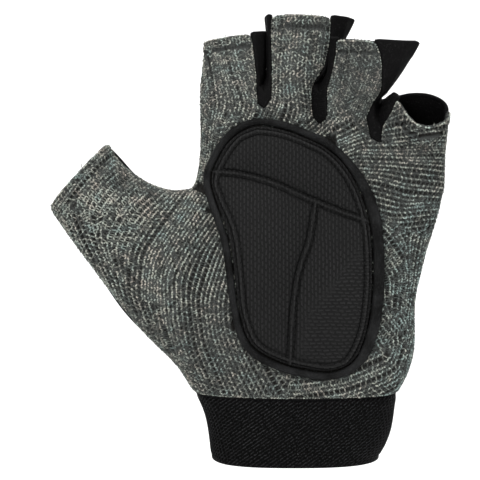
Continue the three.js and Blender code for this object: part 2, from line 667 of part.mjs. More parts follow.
// A grid of points inside four sides: near and far run the same way, as do left and right.
function patch(near, far, left, right) {
  return blockShares.map((v, j) =>
    blockShares.map((u, i) => {
      const between = near[i].clone().lerp(far[i], v).add(left[j].clone().lerp(right[j], u));
      const cornersMix = near[0].clone().lerp(near.at(-1), u).lerp(far[0].clone().lerp(far.at(-1), u), v);
      return between.sub(cornersMix);
    }),
  );
}
const reversed = (run) => [...run].reverse();
const run = (from, to) => outlineRun(from, to, cushionInset);
const blocks = [
  patch(run(lowerLeftStop, bottomStop), leftSeam, run(lowerLeftStop, leftStop), reversed(lowerSeam)),
  patch(run(bottomStop, lowerRightStop), rightSeam, reversed(lowerSeam), run(lowerRightStop, rightStop)),
  patch(leftSeam, run(upperLeftStop, topStop), run(leftStop, upperLeftStop), upperLine),
  patch(rightSeam, run(topStop, upperRightStop), upperLine, run(rightStop, upperRightStop)),
];

const outlineSteps = 160;
const stitchLines = [
  evenShares(outlineSteps).map((share) => outlinePoint(share, cushionInset)),
  [...leftSeam, ...rightSeam.slice(1)],
  lowerSeam,
];
function distanceToLine(points, place) {
  let best = Infinity;
  for (let i = 1; i < points.length; i += 1) {
    const piece = new THREE.Line3(points[i - 1], points[i]);
    const nearest = piece.closestPointToPoint(place, true, new THREE.Vector3());
    best = Math.min(best, nearest.distanceTo(place));
  }
  return best;
}
const cushionHeight = (place) => {
  const away = Math.min(...stitchLines.map((line) => distanceToLine(line, place)));
  return lerp(padThickness, quiltThickness, Math.exp(-away / quiltRoll));
};

// The cushion: four grids that share their common sides, closed underneath and round the edge.
function cushionSolid() {
  const flat = [];
  const known = new Map();
  const idOf = (place) => {
    const key = `${place.x.toFixed(3)} ${place.z.toFixed(3)}`;
    if (!known.has(key)) known.set(key, flat.push(place) - 1);
    return known.get(key);
  };
  const cells = [];
  for (const block of blocks) {
    const ids = block.map((row) => row.map(idOf));
    for (let j = 1; j < ids.length; j += 1) {
      for (let i = 1; i < ids[j].length; i += 1) {
        cells.push({ corners: [ids[j - 1][i - 1], ids[j - 1][i], ids[j][i], ids[j][i - 1]] });
      }
    }
  }
  const shift = flat.length;
  const faces = cells.map((cell) => cell.corners);
  const under = faces.map(([a, b, c, d]) => [a, d, c, b].map((i) => i + shift));
  const rim = openEdges(cells).map(([a, b]) => [b, a, a + shift, b + shift]);
  const points = [...flat.map((p) => onPalm(p, cushionHeight(p))), ...flat.map((p) => onPalm(p, 0))];
  return solid(points, [...faces, ...under, ...rim]);
}

// The edging: a closed strip round the cushion, highest along its middle.
function edgingSolid() {
  const profile = [
    { inset: 0, height: 0 },
    { inset: 0, height: 0.55 * edgingThickness },
    { inset: edgingWidth * 0.35, height: edgingThickness },
    { inset: edgingWidth, height: 0.8 * edgingThickness },
    { inset: edgingWidth, height: 0 },
    { inset: edgingWidth * 0.5, height: 0 },
  ];
  const turns = stops.flatMap((stop, i) => {
    const next = stops[(i + 1) % stops.length];
    let step = next - stop;
    if (step > 0.5) step -= 1;
    if (step < -0.5) step += 1;
    return blockShares.slice(0, -1).map((share) => stop + step * share);
  });
  const points = turns.flatMap((share) =>
    profile.map(({ inset, height }) => onPalm(outlinePoint(share, inset), height)),
  );
  const faces = [];
  turns.forEach((_, t) => {
    const here = t * profile.length;
    const there = ((t + 1) % turns.length) * profile.length;
    profile.forEach((_, p) => {
      const q = (p + 1) % profile.length;
      faces.push([here + p, here + q, there + q, there + p]);
    });
  });
  return solid(points, faces);
}

const meshGrey = new THREE.MeshStandardMaterial({ color: 0x6f746f, roughness: 0.9, metalness: 0 });
const stretchBlack = new THREE.MeshStandardMaterial({ color: 0x101011, roughness: 0.85, metalness: 0 });
const elasticBlack = new THREE.MeshStandardMaterial({ color: 0x121213, roughness: 0.8, metalness: 0 });
const edgingBlack = new THREE.MeshStandardMaterial({ color: 0x242427, roughness: 0.7, metalness: 0 });
const ribbedBlack = new THREE.MeshStandardMaterial({ color: 0x1d1d1f, roughness: 0.75, metalness: 0 });

const glove = new THREE.Group();
function add(name, geometry, material) {
  const mesh = new THREE.Mesh(geometry, material);
  mesh.name = name;
  glove.add(mesh);
}
add("palm_panel", panelSolid("palm_panel", meshWall), meshGrey);
add("back_panel", panelSolid("back_panel", stretchWall), stretchBlack);
gussetNames.forEach((name) => add(name, panelSolid(name, stretchWall), stretchBlack));
add("wrist_band", panelSolid("wrist_band", bandWall), elasticBlack);
add("pad_edging", edgingSolid(), edgingBlack);
add("pad_cushion", cushionSolid(), ribbedBlack);

export default glove;
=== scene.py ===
# A fingerless weightlifting glove, standing as the hand fills it: fingers up, palm towards the camera.
from contextlib import contextmanager
from math import atan2, cos, pi, radians, sin

import bpy
import numpy as np
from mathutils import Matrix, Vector
from mathutils.bvhtree import BVHTree
from mathutils.kdtree import KDTree


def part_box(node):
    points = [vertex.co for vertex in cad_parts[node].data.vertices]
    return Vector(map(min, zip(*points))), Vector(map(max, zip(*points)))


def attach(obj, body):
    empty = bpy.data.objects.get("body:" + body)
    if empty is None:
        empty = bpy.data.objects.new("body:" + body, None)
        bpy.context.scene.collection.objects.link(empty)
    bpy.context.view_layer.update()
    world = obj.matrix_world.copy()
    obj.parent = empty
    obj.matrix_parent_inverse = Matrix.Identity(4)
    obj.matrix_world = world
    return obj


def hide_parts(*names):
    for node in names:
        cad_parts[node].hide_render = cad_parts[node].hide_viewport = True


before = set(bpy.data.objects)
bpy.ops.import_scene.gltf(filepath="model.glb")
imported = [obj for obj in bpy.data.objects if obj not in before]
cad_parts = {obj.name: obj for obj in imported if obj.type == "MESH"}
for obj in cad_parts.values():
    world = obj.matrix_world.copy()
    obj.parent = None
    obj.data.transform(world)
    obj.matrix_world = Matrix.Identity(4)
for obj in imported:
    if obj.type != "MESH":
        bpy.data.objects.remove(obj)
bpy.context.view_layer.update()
mm = 0.001
draws = np.random.default_rng(7)


# Selecting, reading and moving

def pick(*pieces):
    if bpy.context.object and bpy.context.object.mode != "OBJECT":
        bpy.ops.object.mode_set(mode="OBJECT")
    bpy.ops.object.select_all(action="DESELECT")
    for piece in pieces:
        piece.select_set(True)
    bpy.context.view_layer.objects.active = pieces[0]


@contextmanager
def editing(piece, action="SELECT"):  # edit mode with all or nothing selected
    pick(piece)
    bpy.ops.object.mode_set(mode="EDIT")
    bpy.ops.mesh.select_all(action=action)
    yield
    bpy.ops.object.mode_set(mode="OBJECT")


def read(items, name, width):  # one row for each item
    found = np.empty(len(items) * width)
    items.foreach_get(name, found)
    return found.reshape(-1, width)


def places(piece):
    return read(piece.data.vertices, "co", 3)


def setPlaces(piece, moved):
    piece.data.vertices.foreach_set("co", moved.ravel())
    piece.data.update()


def normals(piece):
    return read(piece.data.vertex_normals, "vector", 3)


def loopVertices(mesh):
    found = np.empty(len(mesh.loops), dtype=int)
    mesh.loops.foreach_get("vertex_index", found)
    return found


def unit(vectors):
    return vectors / np.maximum(np.linalg.norm(vectors, axis=1, keepdims=True), 1e-9)


def lengthAt(run):  # the length run up to each of its points
    return np.concatenate([[0], np.cumsum(np.hypot.reduce(np.diff(run, axis=0), axis=1))])


def drawn(low, high, power=1.0):  # a random number, nearer to the low end for a higher power
    return low + (high - low) * draws.random() ** power


def hump(value, middle, width):
    return np.exp(-((value - middle) / width) ** 2)


def smoothStep(value, low, high):
    share = np.clip((value - low) / (high - low), 0, 1)
    return share * share * (3 - 2 * share)


def spotTree(spots):
    tree = KDTree(len(spots))
    for i, spot in enumerate(spots):
        tree.insert(spot, i)
    tree.balance()
    return tree


def nearestDistance(points, targets):
    tree = spotTree(targets)
    return np.array([tree.find(point)[2] for point in points])


def applyModifier(piece, kind, **settings):
    pick(piece)
    modifier = piece.modifiers.new(kind.lower(), kind)
    for name, value in settings.items():
        setattr(modifier, name, value)
    bpy.ops.object.modifier_apply(modifier=modifier.name)


def subdivided(piece, levels):
    applyModifier(piece, "SUBSURF", levels=levels, render_levels=levels)


def copyNode(nodeName, pieceName):
    piece = bpy.data.objects.new(pieceName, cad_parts[nodeName].data.copy())
    bpy.context.collection.objects.link(piece)
    piece.data.materials.clear()
    with editing(piece):
        bpy.ops.mesh.remove_doubles(threshold=0.001 * mm)
        bpy.ops.mesh.tris_convert_to_quads(face_threshold=radians(60), shape_threshold=radians(60))
    return piece


def faceGroups(piece, limit):  # faces joined over edges that bend less than the limit
    mesh = piece.data
    edgeFaces = {}
    for face in mesh.polygons:
        for key in face.edge_keys:
            edgeFaces.setdefault(key, []).append(face.index)
    neighbours = {face.index: [] for face in mesh.polygons}
    for pair in edgeFaces.values():
        if len(pair) == 2:
            first, second = (mesh.polygons[i].normal for i in pair)
            if first.angle(second, 0) < limit:
                neighbours[pair[0]].append(pair[1])
                neighbours[pair[1]].append(pair[0])
    groups, left = [], set(neighbours)
    while left:
        group, queue = [], [left.pop()]
        while queue:
            face = queue.pop()
            group.append(face)
            for other in neighbours[face]:
                if other in left:
                    left.remove(other)
                    queue.append(other)
        groups.append(group)
    return groups


def outerSheet(nodeName, pieceName, limit=radians(35)):  # a panel's outer face, without its lining and rims
    piece = copyNode(nodeName, pieceName)
    mesh = piece.data
    outer = set(max(faceGroups(piece, limit), key=lambda group: sum(mesh.polygons[i].area for i in group)))
    pick(piece)
    bpy.ops.object.mode_set(mode="EDIT")
    bpy.ops.mesh.select_mode(type="FACE")
    bpy.ops.object.mode_set(mode="OBJECT")
    for face in mesh.polygons:
        face.select = face.index not in outer
    bpy.ops.object.mode_set(mode="EDIT")
    bpy.ops.mesh.delete(type="FACE")
    bpy.ops.object.mode_set(mode="OBJECT")
    return piece


def layFlat(piece):  # a map of the cloth in metres, level with the palm's width and height
    with editing(piece):
        bpy.ops.uv.unwrap(method="ANGLE_BASED", margin=0)
    mesh = piece.data
    flat = read(mesh.uv_layers.active.data, "uv", 2)
    at = places(piece)[loopVertices(mesh)]
    target = at[:, 0] + 1j * at[:, 2]
    source = flat[:, 0] + 1j * flat[:, 1]
    fits = []
    for option in (source, source.conj()):
        centred, wanted = option - option.mean(), target - target.mean()
        turn = (wanted * centred.conj()).sum() / (abs(centred) ** 2).sum()
        fits.append((abs(wanted - turn * centred).sum(), turn, option))
    turn, option = min(fits, key=lambda fit: fit[0])[1:]
    area = flatArea = 0
    for face in mesh.polygons:
        area += face.area
        spots = option[list(face.loop_indices)]
        flatArea += abs((spots * np.roll(spots, -1).conj()).imag.sum()) / 2
    turn *= (area / flatArea) ** 0.5 / abs(turn)
    laid = turn * (option - option.mean()) + target.mean()
    mesh.uv_layers.active.data.foreach_set("uv", np.column_stack([laid.real, laid.imag]).ravel())
    mesh.uv_layers.active.name = "cloth"
    return area


def clothPlaces(piece):  # the flat place of each vertex
    mesh = piece.data
    found = np.zeros((len(mesh.vertices), 2))
    found[loopVertices(mesh)] = read(mesh.uv_layers["cloth"].data, "uv", 2)
    return found


def flatSize(piece):  # how wide and how high the flat cloth is
    return tuple(float(size) for size in np.ptp(clothPlaces(piece), axis=0))


def borderEdges(piece):
    counts = {}
    for face in piece.data.polygons:
        for key in face.edge_keys:
            counts[key] = counts.get(key, 0) + 1
    return [key for key, count in counts.items() if count == 1]


def borderPoints(piece):
    return np.array(sorted({vertex for key in borderEdges(piece) for vertex in key}))


def borderRuns(piece):  # the border's closed runs of vertices
    ahead = {}
    for a, b in borderEdges(piece):
        ahead.setdefault(a, []).append(b)
        ahead.setdefault(b, []).append(a)
    runs, left = [], set(ahead)
    while left:
        run = [left.pop()]
        while True:
            following = [v for v in ahead[run[-1]] if v in left]
            if not following:
                break
            left.remove(following[0])
            run.append(following[0])
        runs.append(run)
    return runs


def tubes(name, runs):  # each run has middles, outward directions and radii
    points, faces, sides = [], [], 7
    turns = [2 * pi * k / sides for k in range(sides)]
    for middles, outs, radii in runs:
        along = unit(np.gradient(middles, axis=0))
        across = unit(np.cross(along, outs))
        up = np.cross(across, along)
        start = len(points)
        for middle, a, b, radius in zip(middles, across, up, radii):
            points += [middle + radius * (a * cos(turn) + b * sin(turn)) for turn in turns]
        for row in range(start, start + (len(middles) - 1) * sides, sides):
            for k in range(sides):
                following = (k + 1) % sides
                faces.append((row + k, row + following, row + sides + following, row + sides + k))
        faces.append(tuple(range(start, start + sides))[::-1])
        faces.append(tuple(range(len(points) - sides, len(points))))
    piece = pieceOf(name, points, faces)
    outwards(piece)
    smoothShaded(piece)
    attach(piece, "root")
    return piece


def outwards(piece):
    with editing(piece):
        bpy.ops.mesh.normals_make_consistent(inside=False)


def rolledEdge(piece, radius, depth):  # the sheet's border dives round into its seam
    at = places(piece)
    rim = borderPoints(piece)
    away = nearestDistance(at, at[rim])
    share = np.clip(1 - away / radius, 0, 1)
    dive = depth * (1 - np.sqrt(1 - share ** 2))
    setPlaces(piece, at - normals(piece) * dive[:, None])


def thickened(piece, wall):  # gives the sheet its wall; the outer face keeps the first places in the list
    count = len(piece.data.vertices)
    applyModifier(piece, "SOLIDIFY", thickness=wall, offset=-1, use_even_offset=False)
    return count


def raised(piece, count, heights):  # moves the outer face along its normals
    at = places(piece)
    out = normals(piece)
    at[:count] += out[:count] * heights[:, None]
    setPlaces(piece, at)


def smoothShaded(piece):
    pick(piece)
    bpy.ops.object.shade_smooth()


def attribute(piece, name, values):
    layer = piece.data.attributes.new(name, "FLOAT", "POINT")
    full = np.zeros(len(piece.data.vertices))
    full[:len(values)] = values
    layer.data.foreach_set("value", full)


def pieceOf(name, points, faces):
    mesh = bpy.data.meshes.new(name)
    mesh.from_pydata([tuple(point) for point in points], [], faces)
    mesh.update()
    piece = bpy.data.objects.new(name, mesh)
    bpy.context.collection.objects.link(piece)
    return piece


# Materials

class Wire:  # one socket that takes part in sums
    def __init__(self, finish, socket):
        self.finish = finish
        self.socket = socket

    def __add__(self, other):
        return self.finish.maths("ADD", self, other)

    def __radd__(self, other):
        return self.finish.maths("ADD", other, self)

    def __sub__(self, other):
        return self.finish.maths("SUBTRACT", self, other)

    def __rsub__(self, other):
        return self.finish.maths("SUBTRACT", other, self)

    def __mul__(self, other):
        return self.finish.maths("MULTIPLY", self, other)

    def __rmul__(self, other):
        return self.finish.maths("MULTIPLY", other, self)

    def __truediv__(self, other):
        return self.finish.maths("DIVIDE", self, other)


class Finish:  # one material and the ways to add to it
    def __init__(self, name, **constants):
        self.material = bpy.data.materials.new(name)
        self.material.use_nodes = True
        self.tree = self.material.node_tree
        self.shader = self.tree.nodes["Principled BSDF"]
        for socketName, value in constants.items():
            self.shader.inputs[socketName.replace("_", " ")].default_value = value

    def node(self, kind, settings, inputs):
        made = self.tree.nodes.new(kind)
        for setting, value in settings.items():
            setattr(made, setting, value)
        for socketName, value in inputs.items():
            if isinstance(value, Wire):
                self.tree.links.new(value.socket, made.inputs[socketName])
            else:
                made.inputs[socketName].default_value = value
        return made

    def output(self, made, name=0):
        return Wire(self, made.outputs[name])

    def maths(self, operation, *values):
        return self.output(self.node("ShaderNodeMath", {"operation": operation}, dict(enumerate(values))))

    def step(self, value, low, high):
        settings = {"interpolation_type": "SMOOTHSTEP"}
        made = self.node("ShaderNodeMapRange", settings, {"Value": value, "From Min": low, "From Max": high})
        return self.output(made)

    def place(self):  # the surface's place in the glove's own frame, in metres
        return self.output(self.node("ShaderNodeTexCoord", {}, {}), "Object")

    def cloth(self):  # the place on the flat cloth, in metres
        return self.output(self.node("ShaderNodeUVMap", {"uv_map": "cloth"}, {}))

    def stored(self, name):
        return self.output(self.node("ShaderNodeAttribute", {"attribute_name": name}, {}), "Fac")

    def parts(self, vector):
        made = self.node("ShaderNodeSeparateXYZ", {}, {"Vector": vector})
        return [self.output(made, axis) for axis in "XYZ"]

    def vector(self, x, y, z=0.0):
        return self.output(self.node("ShaderNodeCombineXYZ", {}, {"X": x, "Y": y, "Z": z}))

    def noise(self, where, size, detail=2.0, roughness=0.5):
        inputs = {"Vector": where, "Scale": 1 / size, "Detail": detail, "Roughness": roughness}
        return self.output(self.node("ShaderNodeTexNoise", {}, inputs), "Fac")

    def mix(self, share, first, second):
        made = self.node("ShaderNodeMix", {"data_type": "RGBA"}, {0: share, 6: first, 7: second})
        return self.output(made, 2)

    def ramp(self, value, stops):
        made = self.node("ShaderNodeValToRGB", {}, {"Fac": value})
        band = made.color_ramp
        while len(band.elements) < len(stops):
            band.elements.new(0.5)
        for element, (position, colour) in zip(band.elements, stops):
            element.position = position
            element.color = colour
        return self.output(made)

    def dress(self, pieces, colour, roughness, height, distance):
        bump = self.node("ShaderNodeBump", {}, {"Height": height, "Strength": 1.0, "Distance": distance})
        self.tree.links.new(colour.socket, self.shader.inputs["Base Color"])
        self.shader.inputs["Roughness"].default_value = roughness
        self.tree.links.new(bump.outputs[0], self.shader.inputs["Normal"])
        self.paint(pieces)

    def paint(self, pieces):
        for piece in pieces:
            piece.data.materials.clear()
            piece.data.materials.append(self.material)


def grey(level, tint=(1, 1, 1)):
    return (level * tint[0], level * tint[1], level * tint[2], 1)


# Camera, floor and lights

camera = {"x": -22 * mm, "y": -572 * mm, "z": 88.4 * mm, "lens": 105, "sensor": 36}
floor = {"z": -120 * mm, "front": -1.5, "back": 1.6, "half": 3.0, "top": 3.0, "bend": 0.5, "steps": 12}
lights = {
    "keyLight": {"at": (-0.5, -1.1, 0.9), "aim": (0, 0, 0.09), "size": 0.7, "power": 15},
    "fillLight": {"at": (0.8, -0.9, 0.3), "aim": (0, 0, 0.09), "size": 0.9, "power": 5},
    "wallLight": {"at": (0, 0.1, 1.6), "aim": (0, 1.6, 0.1), "size": 1.4, "power": 22},
}
sky = 0.65


def makeCamera():
    view = bpy.data.cameras.new("camera")
    view.lens = camera["lens"]
    view.sensor_width = camera["sensor"]
    seen = bpy.data.objects.new("camera", view)
    seen.location = (camera["x"], camera["y"], camera["z"])
    seen.rotation_euler = (radians(90), 0, 0)
    bpy.context.collection.objects.link(seen)
    bpy.context.scene.camera = seen


def makeFloor():  # a pale floor that bends up into a wall
    bend = floor["bend"]
    rows = [(floor["front"], floor["z"])]
    for angle in np.linspace(0, pi / 2, floor["steps"] + 1):
        rows.append((floor["back"] - bend * (1 - sin(angle)), floor["z"] + bend * (1 - cos(angle))))
    rows.append((floor["back"], floor["top"]))
    points = [(side * floor["half"], y, z) for y, z in rows for side in (-1, 1)]
    faces = [(2 * i, 2 * i + 1, 2 * i + 3, 2 * i + 2) for i in range(len(rows) - 1)]
    piece = pieceOf("floor", points, faces)
    smoothShaded(piece)
    pale = Finish("paleFloor", Roughness=0.9, Base_Color=grey(0.93))
    pale.paint([piece])


def makeLight(name, at, aim, size, power):
    lamp = bpy.data.lights.new(name, "AREA")
    lamp.size = size
    lamp.energy = power
    lit = bpy.data.objects.new(name, lamp)
    lit.location = at
    lit.rotation_euler = (Vector(aim) - Vector(at)).to_track_quat("-Z", "Y").to_euler()
    bpy.context.collection.objects.link(lit)


def makeSky():
    world = bpy.data.worlds.new("studio")
    world.use_nodes = True
    inputs = world.node_tree.nodes["Background"].inputs
    inputs["Color"].default_value = (1, 1, 1, 1)
    inputs["Strength"].default_value = sky
    bpy.context.scene.world = world
    bpy.context.scene.view_settings.view_transform = "Standard"


makeCamera()
makeFloor()
for lightName, settings in lights.items():
    makeLight(lightName, **settings)
makeSky()
print("camera, floor and lights are in")


# Grey open knit of the palm, thumb and finger fronts

palm = {
    "levels": 3,
    "wall": 1.4 * mm,
    "edgeRadius": 1.3 * mm,
    "edgeDepth": 0.9 * mm,
    "troughDepth": 0.5 * mm,
    "troughStart": 0.25 * mm,
    "troughEnd": 0.95 * mm,
    "seamReach": 1.9 * mm,
    "sewnReach": 1.5 * mm,
    "hemHeight": 5 * mm,
    "hemGroove": 0.8 * mm,
    "grooveHalf": 0.6 * mm,
    "hemRidge": 0.35 * mm,
    "ridgeDrop": 1.4 * mm,
    "ridgeHalf": 0.9 * mm,
    "padMargin": 2.2 * mm,
}
gussetNames = ["gusset_index_middle", "gusset_middle_ring", "gusset_ring_little"]
# How the knit's ribs run, as judged: a place across and up, the ribs' slope in degrees, the room between
# two ribs, and how light the ribs and their links are. Lengths are in millimetres.
# The lightness column paints light and shade over the palm along with the knit's own tone: a painted highlight
# on the thumb and painted shade towards the heel.
grain = [
    (-37, 168, 104, 1.4, 0.76, 0.7), (-36, 150, 98, 1.4, 0.76, 0.6),
    (-22, 150, 112, 1.4, 0.76, 0.6), (-36, 130, 84, 1.6, 0.76, 0.5),
    (-24, 136, 62, 1.7, 1.05, 0.5), (-34, 114, 76, 1.8, 0.95, 0.45),
    (0, 162, 84, 1.4, 0.8, 0.7), (2, 146, 100, 1.4, 0.8, 0.6),
    (6, 132, 42, 1.8, 1.0, 0.4), (-8, 138, 66, 1.7, 1.05, 0.45),
    (24, 162, 80, 1.4, 0.52, 0.6), (24, 144, 66, 1.4, 0.52, 0.6),
    (20, 126, 24, 1.8, 1.0, 0.35), (31, 120, -4, 1.8, 0.85, 0.35),
    (50, 128, 6, 1.8, 0.7, 0.5), (50, 112, -5, 2.0, 0.8, 0.35),
    (38, 108, -18, 2.0, 0.8, 0.4), (48, 98, 8, 2.0, 0.8, 0.5),
    (38, 84, -52, 1.9, 0.85, 0.6), (50, 84, 80, 1.8, 0.9, 0.4),
    (45, 64, 76, 2.0, 0.85, 0.5), (38, 54, -50, 2.0, 0.9, 0.55),
    (45, 46, 70, 2.0, 0.9, 0.5), (30, 36, 22, 2.1, 0.9, 0.6),
    (8, 30, 8, 2.1, 0.9, 0.6), (-14, 32, -62, 2.1, 0.68, 0.6),
    (-30, 40, 112, 2.1, 0.68, 0.55), (-42, 33, 116, 2.1, 0.68, 0.6),
    (-54, 42, 114, 2.1, 0.68, 0.55), (-40, 56, 98, 2.0, 0.68, 0.5),
    (-63, 57, 112, 2.1, 0.68, 0.5), (-49, 66, 92, 2.0, 1.05, 0.45),
    (-36, 74, 72, 2.0, 1.0, 0.4), (-61, 76, 84, 2.0, 1.05, 0.45),
    (-46, 83, 60, 2.0, 1.0, 0.35), (-39, 92, 54, 2.0, 0.95, 0.35),
    (-56, 89, 56, 2.0, 1.1, 0.4), (-42, 105, 58, 1.9, 0.95, 0.4),
    (-60, 102, 44, 2.0, 1.1, 0.6), (-76, 76, 116, 2.1, 0.85, 0.55),
    (-85, 82, 118, 2.1, 0.8, 0.6), (-84, 94, 112, 2.2, 0.9, 0.9),
    (-74, 103, 56, 2.3, 1.5, 1.2), (-68, 96, 60, 2.2, 1.1, 0.9),
    (-92, 103, 50, 1.7, 0.85, 0.7), (-78, 116, 48, 1.6, 0.75, 0.6),
    (-68, 110, 40, 1.8, 0.6, 0.4), (-57, 108, 44, 1.8, 0.7, 0.35),
]
# Folds of the palm's cloth, in millimetres: both ends across and up, the width and the height.
folds = [
    (37, 126, 56, 123, 1.6, -0.7), (36, 121, 57, 118, 1.8, 0.6),
    (37, 115, 58, 113, 1.6, -0.7), (38, 110, 58, 108, 1.8, 0.6),
    (58, 106, 43, 89, 1.5, -1.0), (56, 102, 41, 96, 1.8, 0.7),
    (49, 88, 46, 66, 1.5, -0.6), (52, 86, 49, 68, 1.4, 0.4),
    (44, 52, 36, 36, 2.0, -0.6), (-44, 107, -66, 112, 2.2, -0.7),
    (-48, 101, -70, 105, 2.4, 0.5), (14, 128, 33, 122, 1.6, 0.5),
    (-10, 140, 10, 132, 1.8, -0.5),
]


def foldLift(at):
    flat = at[:, [0, 2]]
    lift = np.zeros(len(flat))
    for x, z, toX, toZ, wide, height in folds:
        start = np.array([x, z]) * mm
        run = np.array([toX, toZ]) * mm - start
        share = np.clip((flat - start) @ run / (run @ run), 0, 1)
        away = np.linalg.norm(flat - start - share[:, None] * run, axis=1)
        fade = np.sin(pi * np.clip(share, 0.08, 0.92)) * (at[:, 1] < 0)
        lift += height * mm * hump(away, 0, wide * mm) * fade
    return lift


def grainRows(points):  # doubled direction, room, lightness and links' lightness at places across and up
    x, z, slope, room, light, link = np.array(grain).T.copy()
    spots = np.column_stack([x, z]) * mm
    weight = 1 / (np.linalg.norm(points[:, None] - spots[None], axis=2) + 2 * mm) ** 4
    weight /= weight.sum(axis=1, keepdims=True)
    return weight @ np.exp(2j * np.radians(slope)), weight @ room * mm, weight @ light, weight @ link


class Cloth:  # the flat cloth with its solid places, and later its hem groove, first places and border
    def __init__(self, sheet):
        self.flat = clothPlaces(sheet)
        self.at = places(sheet)
        self.out = normals(sheet)
        self.corners = [tuple(face.vertices) for face in sheet.data.polygons]
        self.tree = BVHTree.FromPolygons([(u, v, 0) for u, v in self.flat], self.corners)

    def solid(self, spot):  # place, outward direction, face, and how far outside the cloth the spot lies
        near, _, face, gap = self.tree.find_nearest((spot[0], spot[1], 0))
        corners = list(self.corners[face])
        away = np.maximum(np.linalg.norm(self.flat[corners] - near[:2], axis=1), 1e-7)
        weights = 1 / away ** 2
        weights /= weights.sum()
        out = weights @ self.out[corners]
        return weights @ self.at[corners], out / np.linalg.norm(out), corners, gap


ribs = {
    "cell": 1.5 * mm,
    "margin": 0.8 * mm,
    "bucket": 2.3 * mm,
    "step": 0.4 * mm,
    "longest": 700,
    "shortest": 6,
    "closest": 0.58,
    "passes": ((0.93, 9), (0.74, 1)),  # the share of the room that a new line needs, and the first seeds' stride
    "seedStride": 4,
}


def drawField(cloth, hidden):  # the ribs' direction and room at a grid of spots on the flat cloth
    cell = ribs["cell"]
    low = cloth.flat.min(axis=0) - cell
    count = np.ceil((cloth.flat.max(axis=0) + cell - low) / cell).astype(int) + 1
    spots = [(low[0] + i * cell, low[1] + j * cell) for i in range(count[0]) for j in range(count[1])]
    solid = np.empty((len(spots), 3))
    ways = np.empty((len(spots), 2, 2))
    inside = np.empty(len(spots), dtype=bool)
    for n, spot in enumerate(spots):
        solid[n], _, corners, gap = cloth.solid(spot)
        inside[n] = gap < ribs["margin"] and not hidden(solid[n])
        sides = np.roll(cloth.flat[corners], -1, axis=0) - cloth.flat[corners]
        runs = np.roll(cloth.at[corners], -1, axis=0) - cloth.at[corners]
        ways[n] = np.linalg.lstsq(sides, runs[:, [0, 2]], rcond=None)[0].T
    doubled, room, light, link = grainRows(solid[:, [0, 2]])
    slope = np.angle(doubled) / 2
    ways[np.abs(np.linalg.det(ways)) < 0.15] = np.eye(2)  # cloth seen edge on keeps the direction as it is
    turned = np.linalg.solve(ways, np.column_stack([np.cos(slope), np.sin(slope)])[..., None])[..., 0]
    grids = {
        "doubled": np.exp(2j * np.arctan2(turned[:, 1], turned[:, 0])),
        "inside": inside,
        "room": room,
        "light": light,
        "link": link,
    }
    return {"low": low, "count": count, **{name: grid.reshape(tuple(count)) for name, grid in grids.items()}}


def fieldAt(field, x, y):  # direction, room and whether the cloth goes on there
    i = (x - field["low"][0]) / ribs["cell"]
    j = (y - field["low"][1]) / ribs["cell"]
    a, b = int(i), int(j)
    if a < 0 or b < 0 or a >= field["count"][0] - 1 or b >= field["count"][1] - 1:
        return 0.0, 1.0, False
    s, t = i - a, j - b
    doubled = field["doubled"]
    lower = doubled[a, b] * (1 - s) + doubled[a + 1, b] * s
    upper = doubled[a, b + 1] * (1 - s) + doubled[a + 1, b + 1] * s
    mixed = lower * (1 - t) + upper * t
    a, b = int(i + 0.5), int(j + 0.5)
    return atan2(mixed.imag, mixed.real) / 2, field["room"][a, b], field["inside"][a, b]


def drawRibs(field):  # even lines over the flat cloth that follow the field
    bucket, step = ribs["bucket"], ribs["step"]
    taken = {}

    def crowded(x, y, reach):
        a, b = int(x // bucket), int(y // bucket)
        for i in (a - 1, a, a + 1):
            for j in (b - 1, b, b + 1):
                for px, py in taken.get((i, j), ()):
                    if (px - x) ** 2 + (py - y) ** 2 < reach * reach:
                        return True
        return False

    def traced(x, y, heading):
        run = []
        for _ in range(ribs["longest"]):
            slope, room, inside = fieldAt(field, x, y)
            if not inside or crowded(x, y, room * ribs["closest"]):
                break
            dx, dy = cos(slope), sin(slope)
            if dx * heading[0] + dy * heading[1] < 0:
                dx, dy = -dx, -dy
            run.append((x, y))
            heading = (dx, dy)
            x, y = x + dx * step, y + dy * step
        return run

    lines = []
    for share, stride in ribs["passes"]:
        columns, rows = (range(1, int(field["count"][axis]), stride) for axis in (0, 1))
        seeds = [tuple(field["low"] + np.array([i, j]) * ribs["cell"]) for i in columns for j in rows]
        while seeds:
            x, y = seeds.pop()
            slope, room, inside = fieldAt(field, x, y)
            if not inside or crowded(x, y, room * share):
                continue
            ahead = traced(x, y, (cos(slope), sin(slope)))
            behind = traced(x, y, (-cos(slope), -sin(slope)))
            line = behind[:0:-1] + ahead
            if len(line) < ribs["shortest"]:
                continue
            for px, py in line:
                taken.setdefault((int(px // bucket), int(py // bucket)), []).append((px, py))
            lines.append(np.array(line))
            for n in range(0, len(line) - 1, ribs["seedStride"]):
                (ax, ay), (bx, by) = line[n], line[n + 1]
                away = fieldAt(field, ax, ay)[1] / np.hypot(bx - ax, by - ay)
                for side in (-1, 1):
                    seeds.append((ax - (by - ay) * away * side, ay + (bx - ax) * away * side))
    return lines


def edgePoints(nodeName):  # points close together along every edge of a CAD panel
    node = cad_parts[nodeName]
    at = places(node)
    ends = np.array([edge.vertices[:] for edge in node.data.edges])
    return np.concatenate([at[ends[:, 0]] * (1 - t) + at[ends[:, 1]] * t for t in np.linspace(0, 1, 6)])


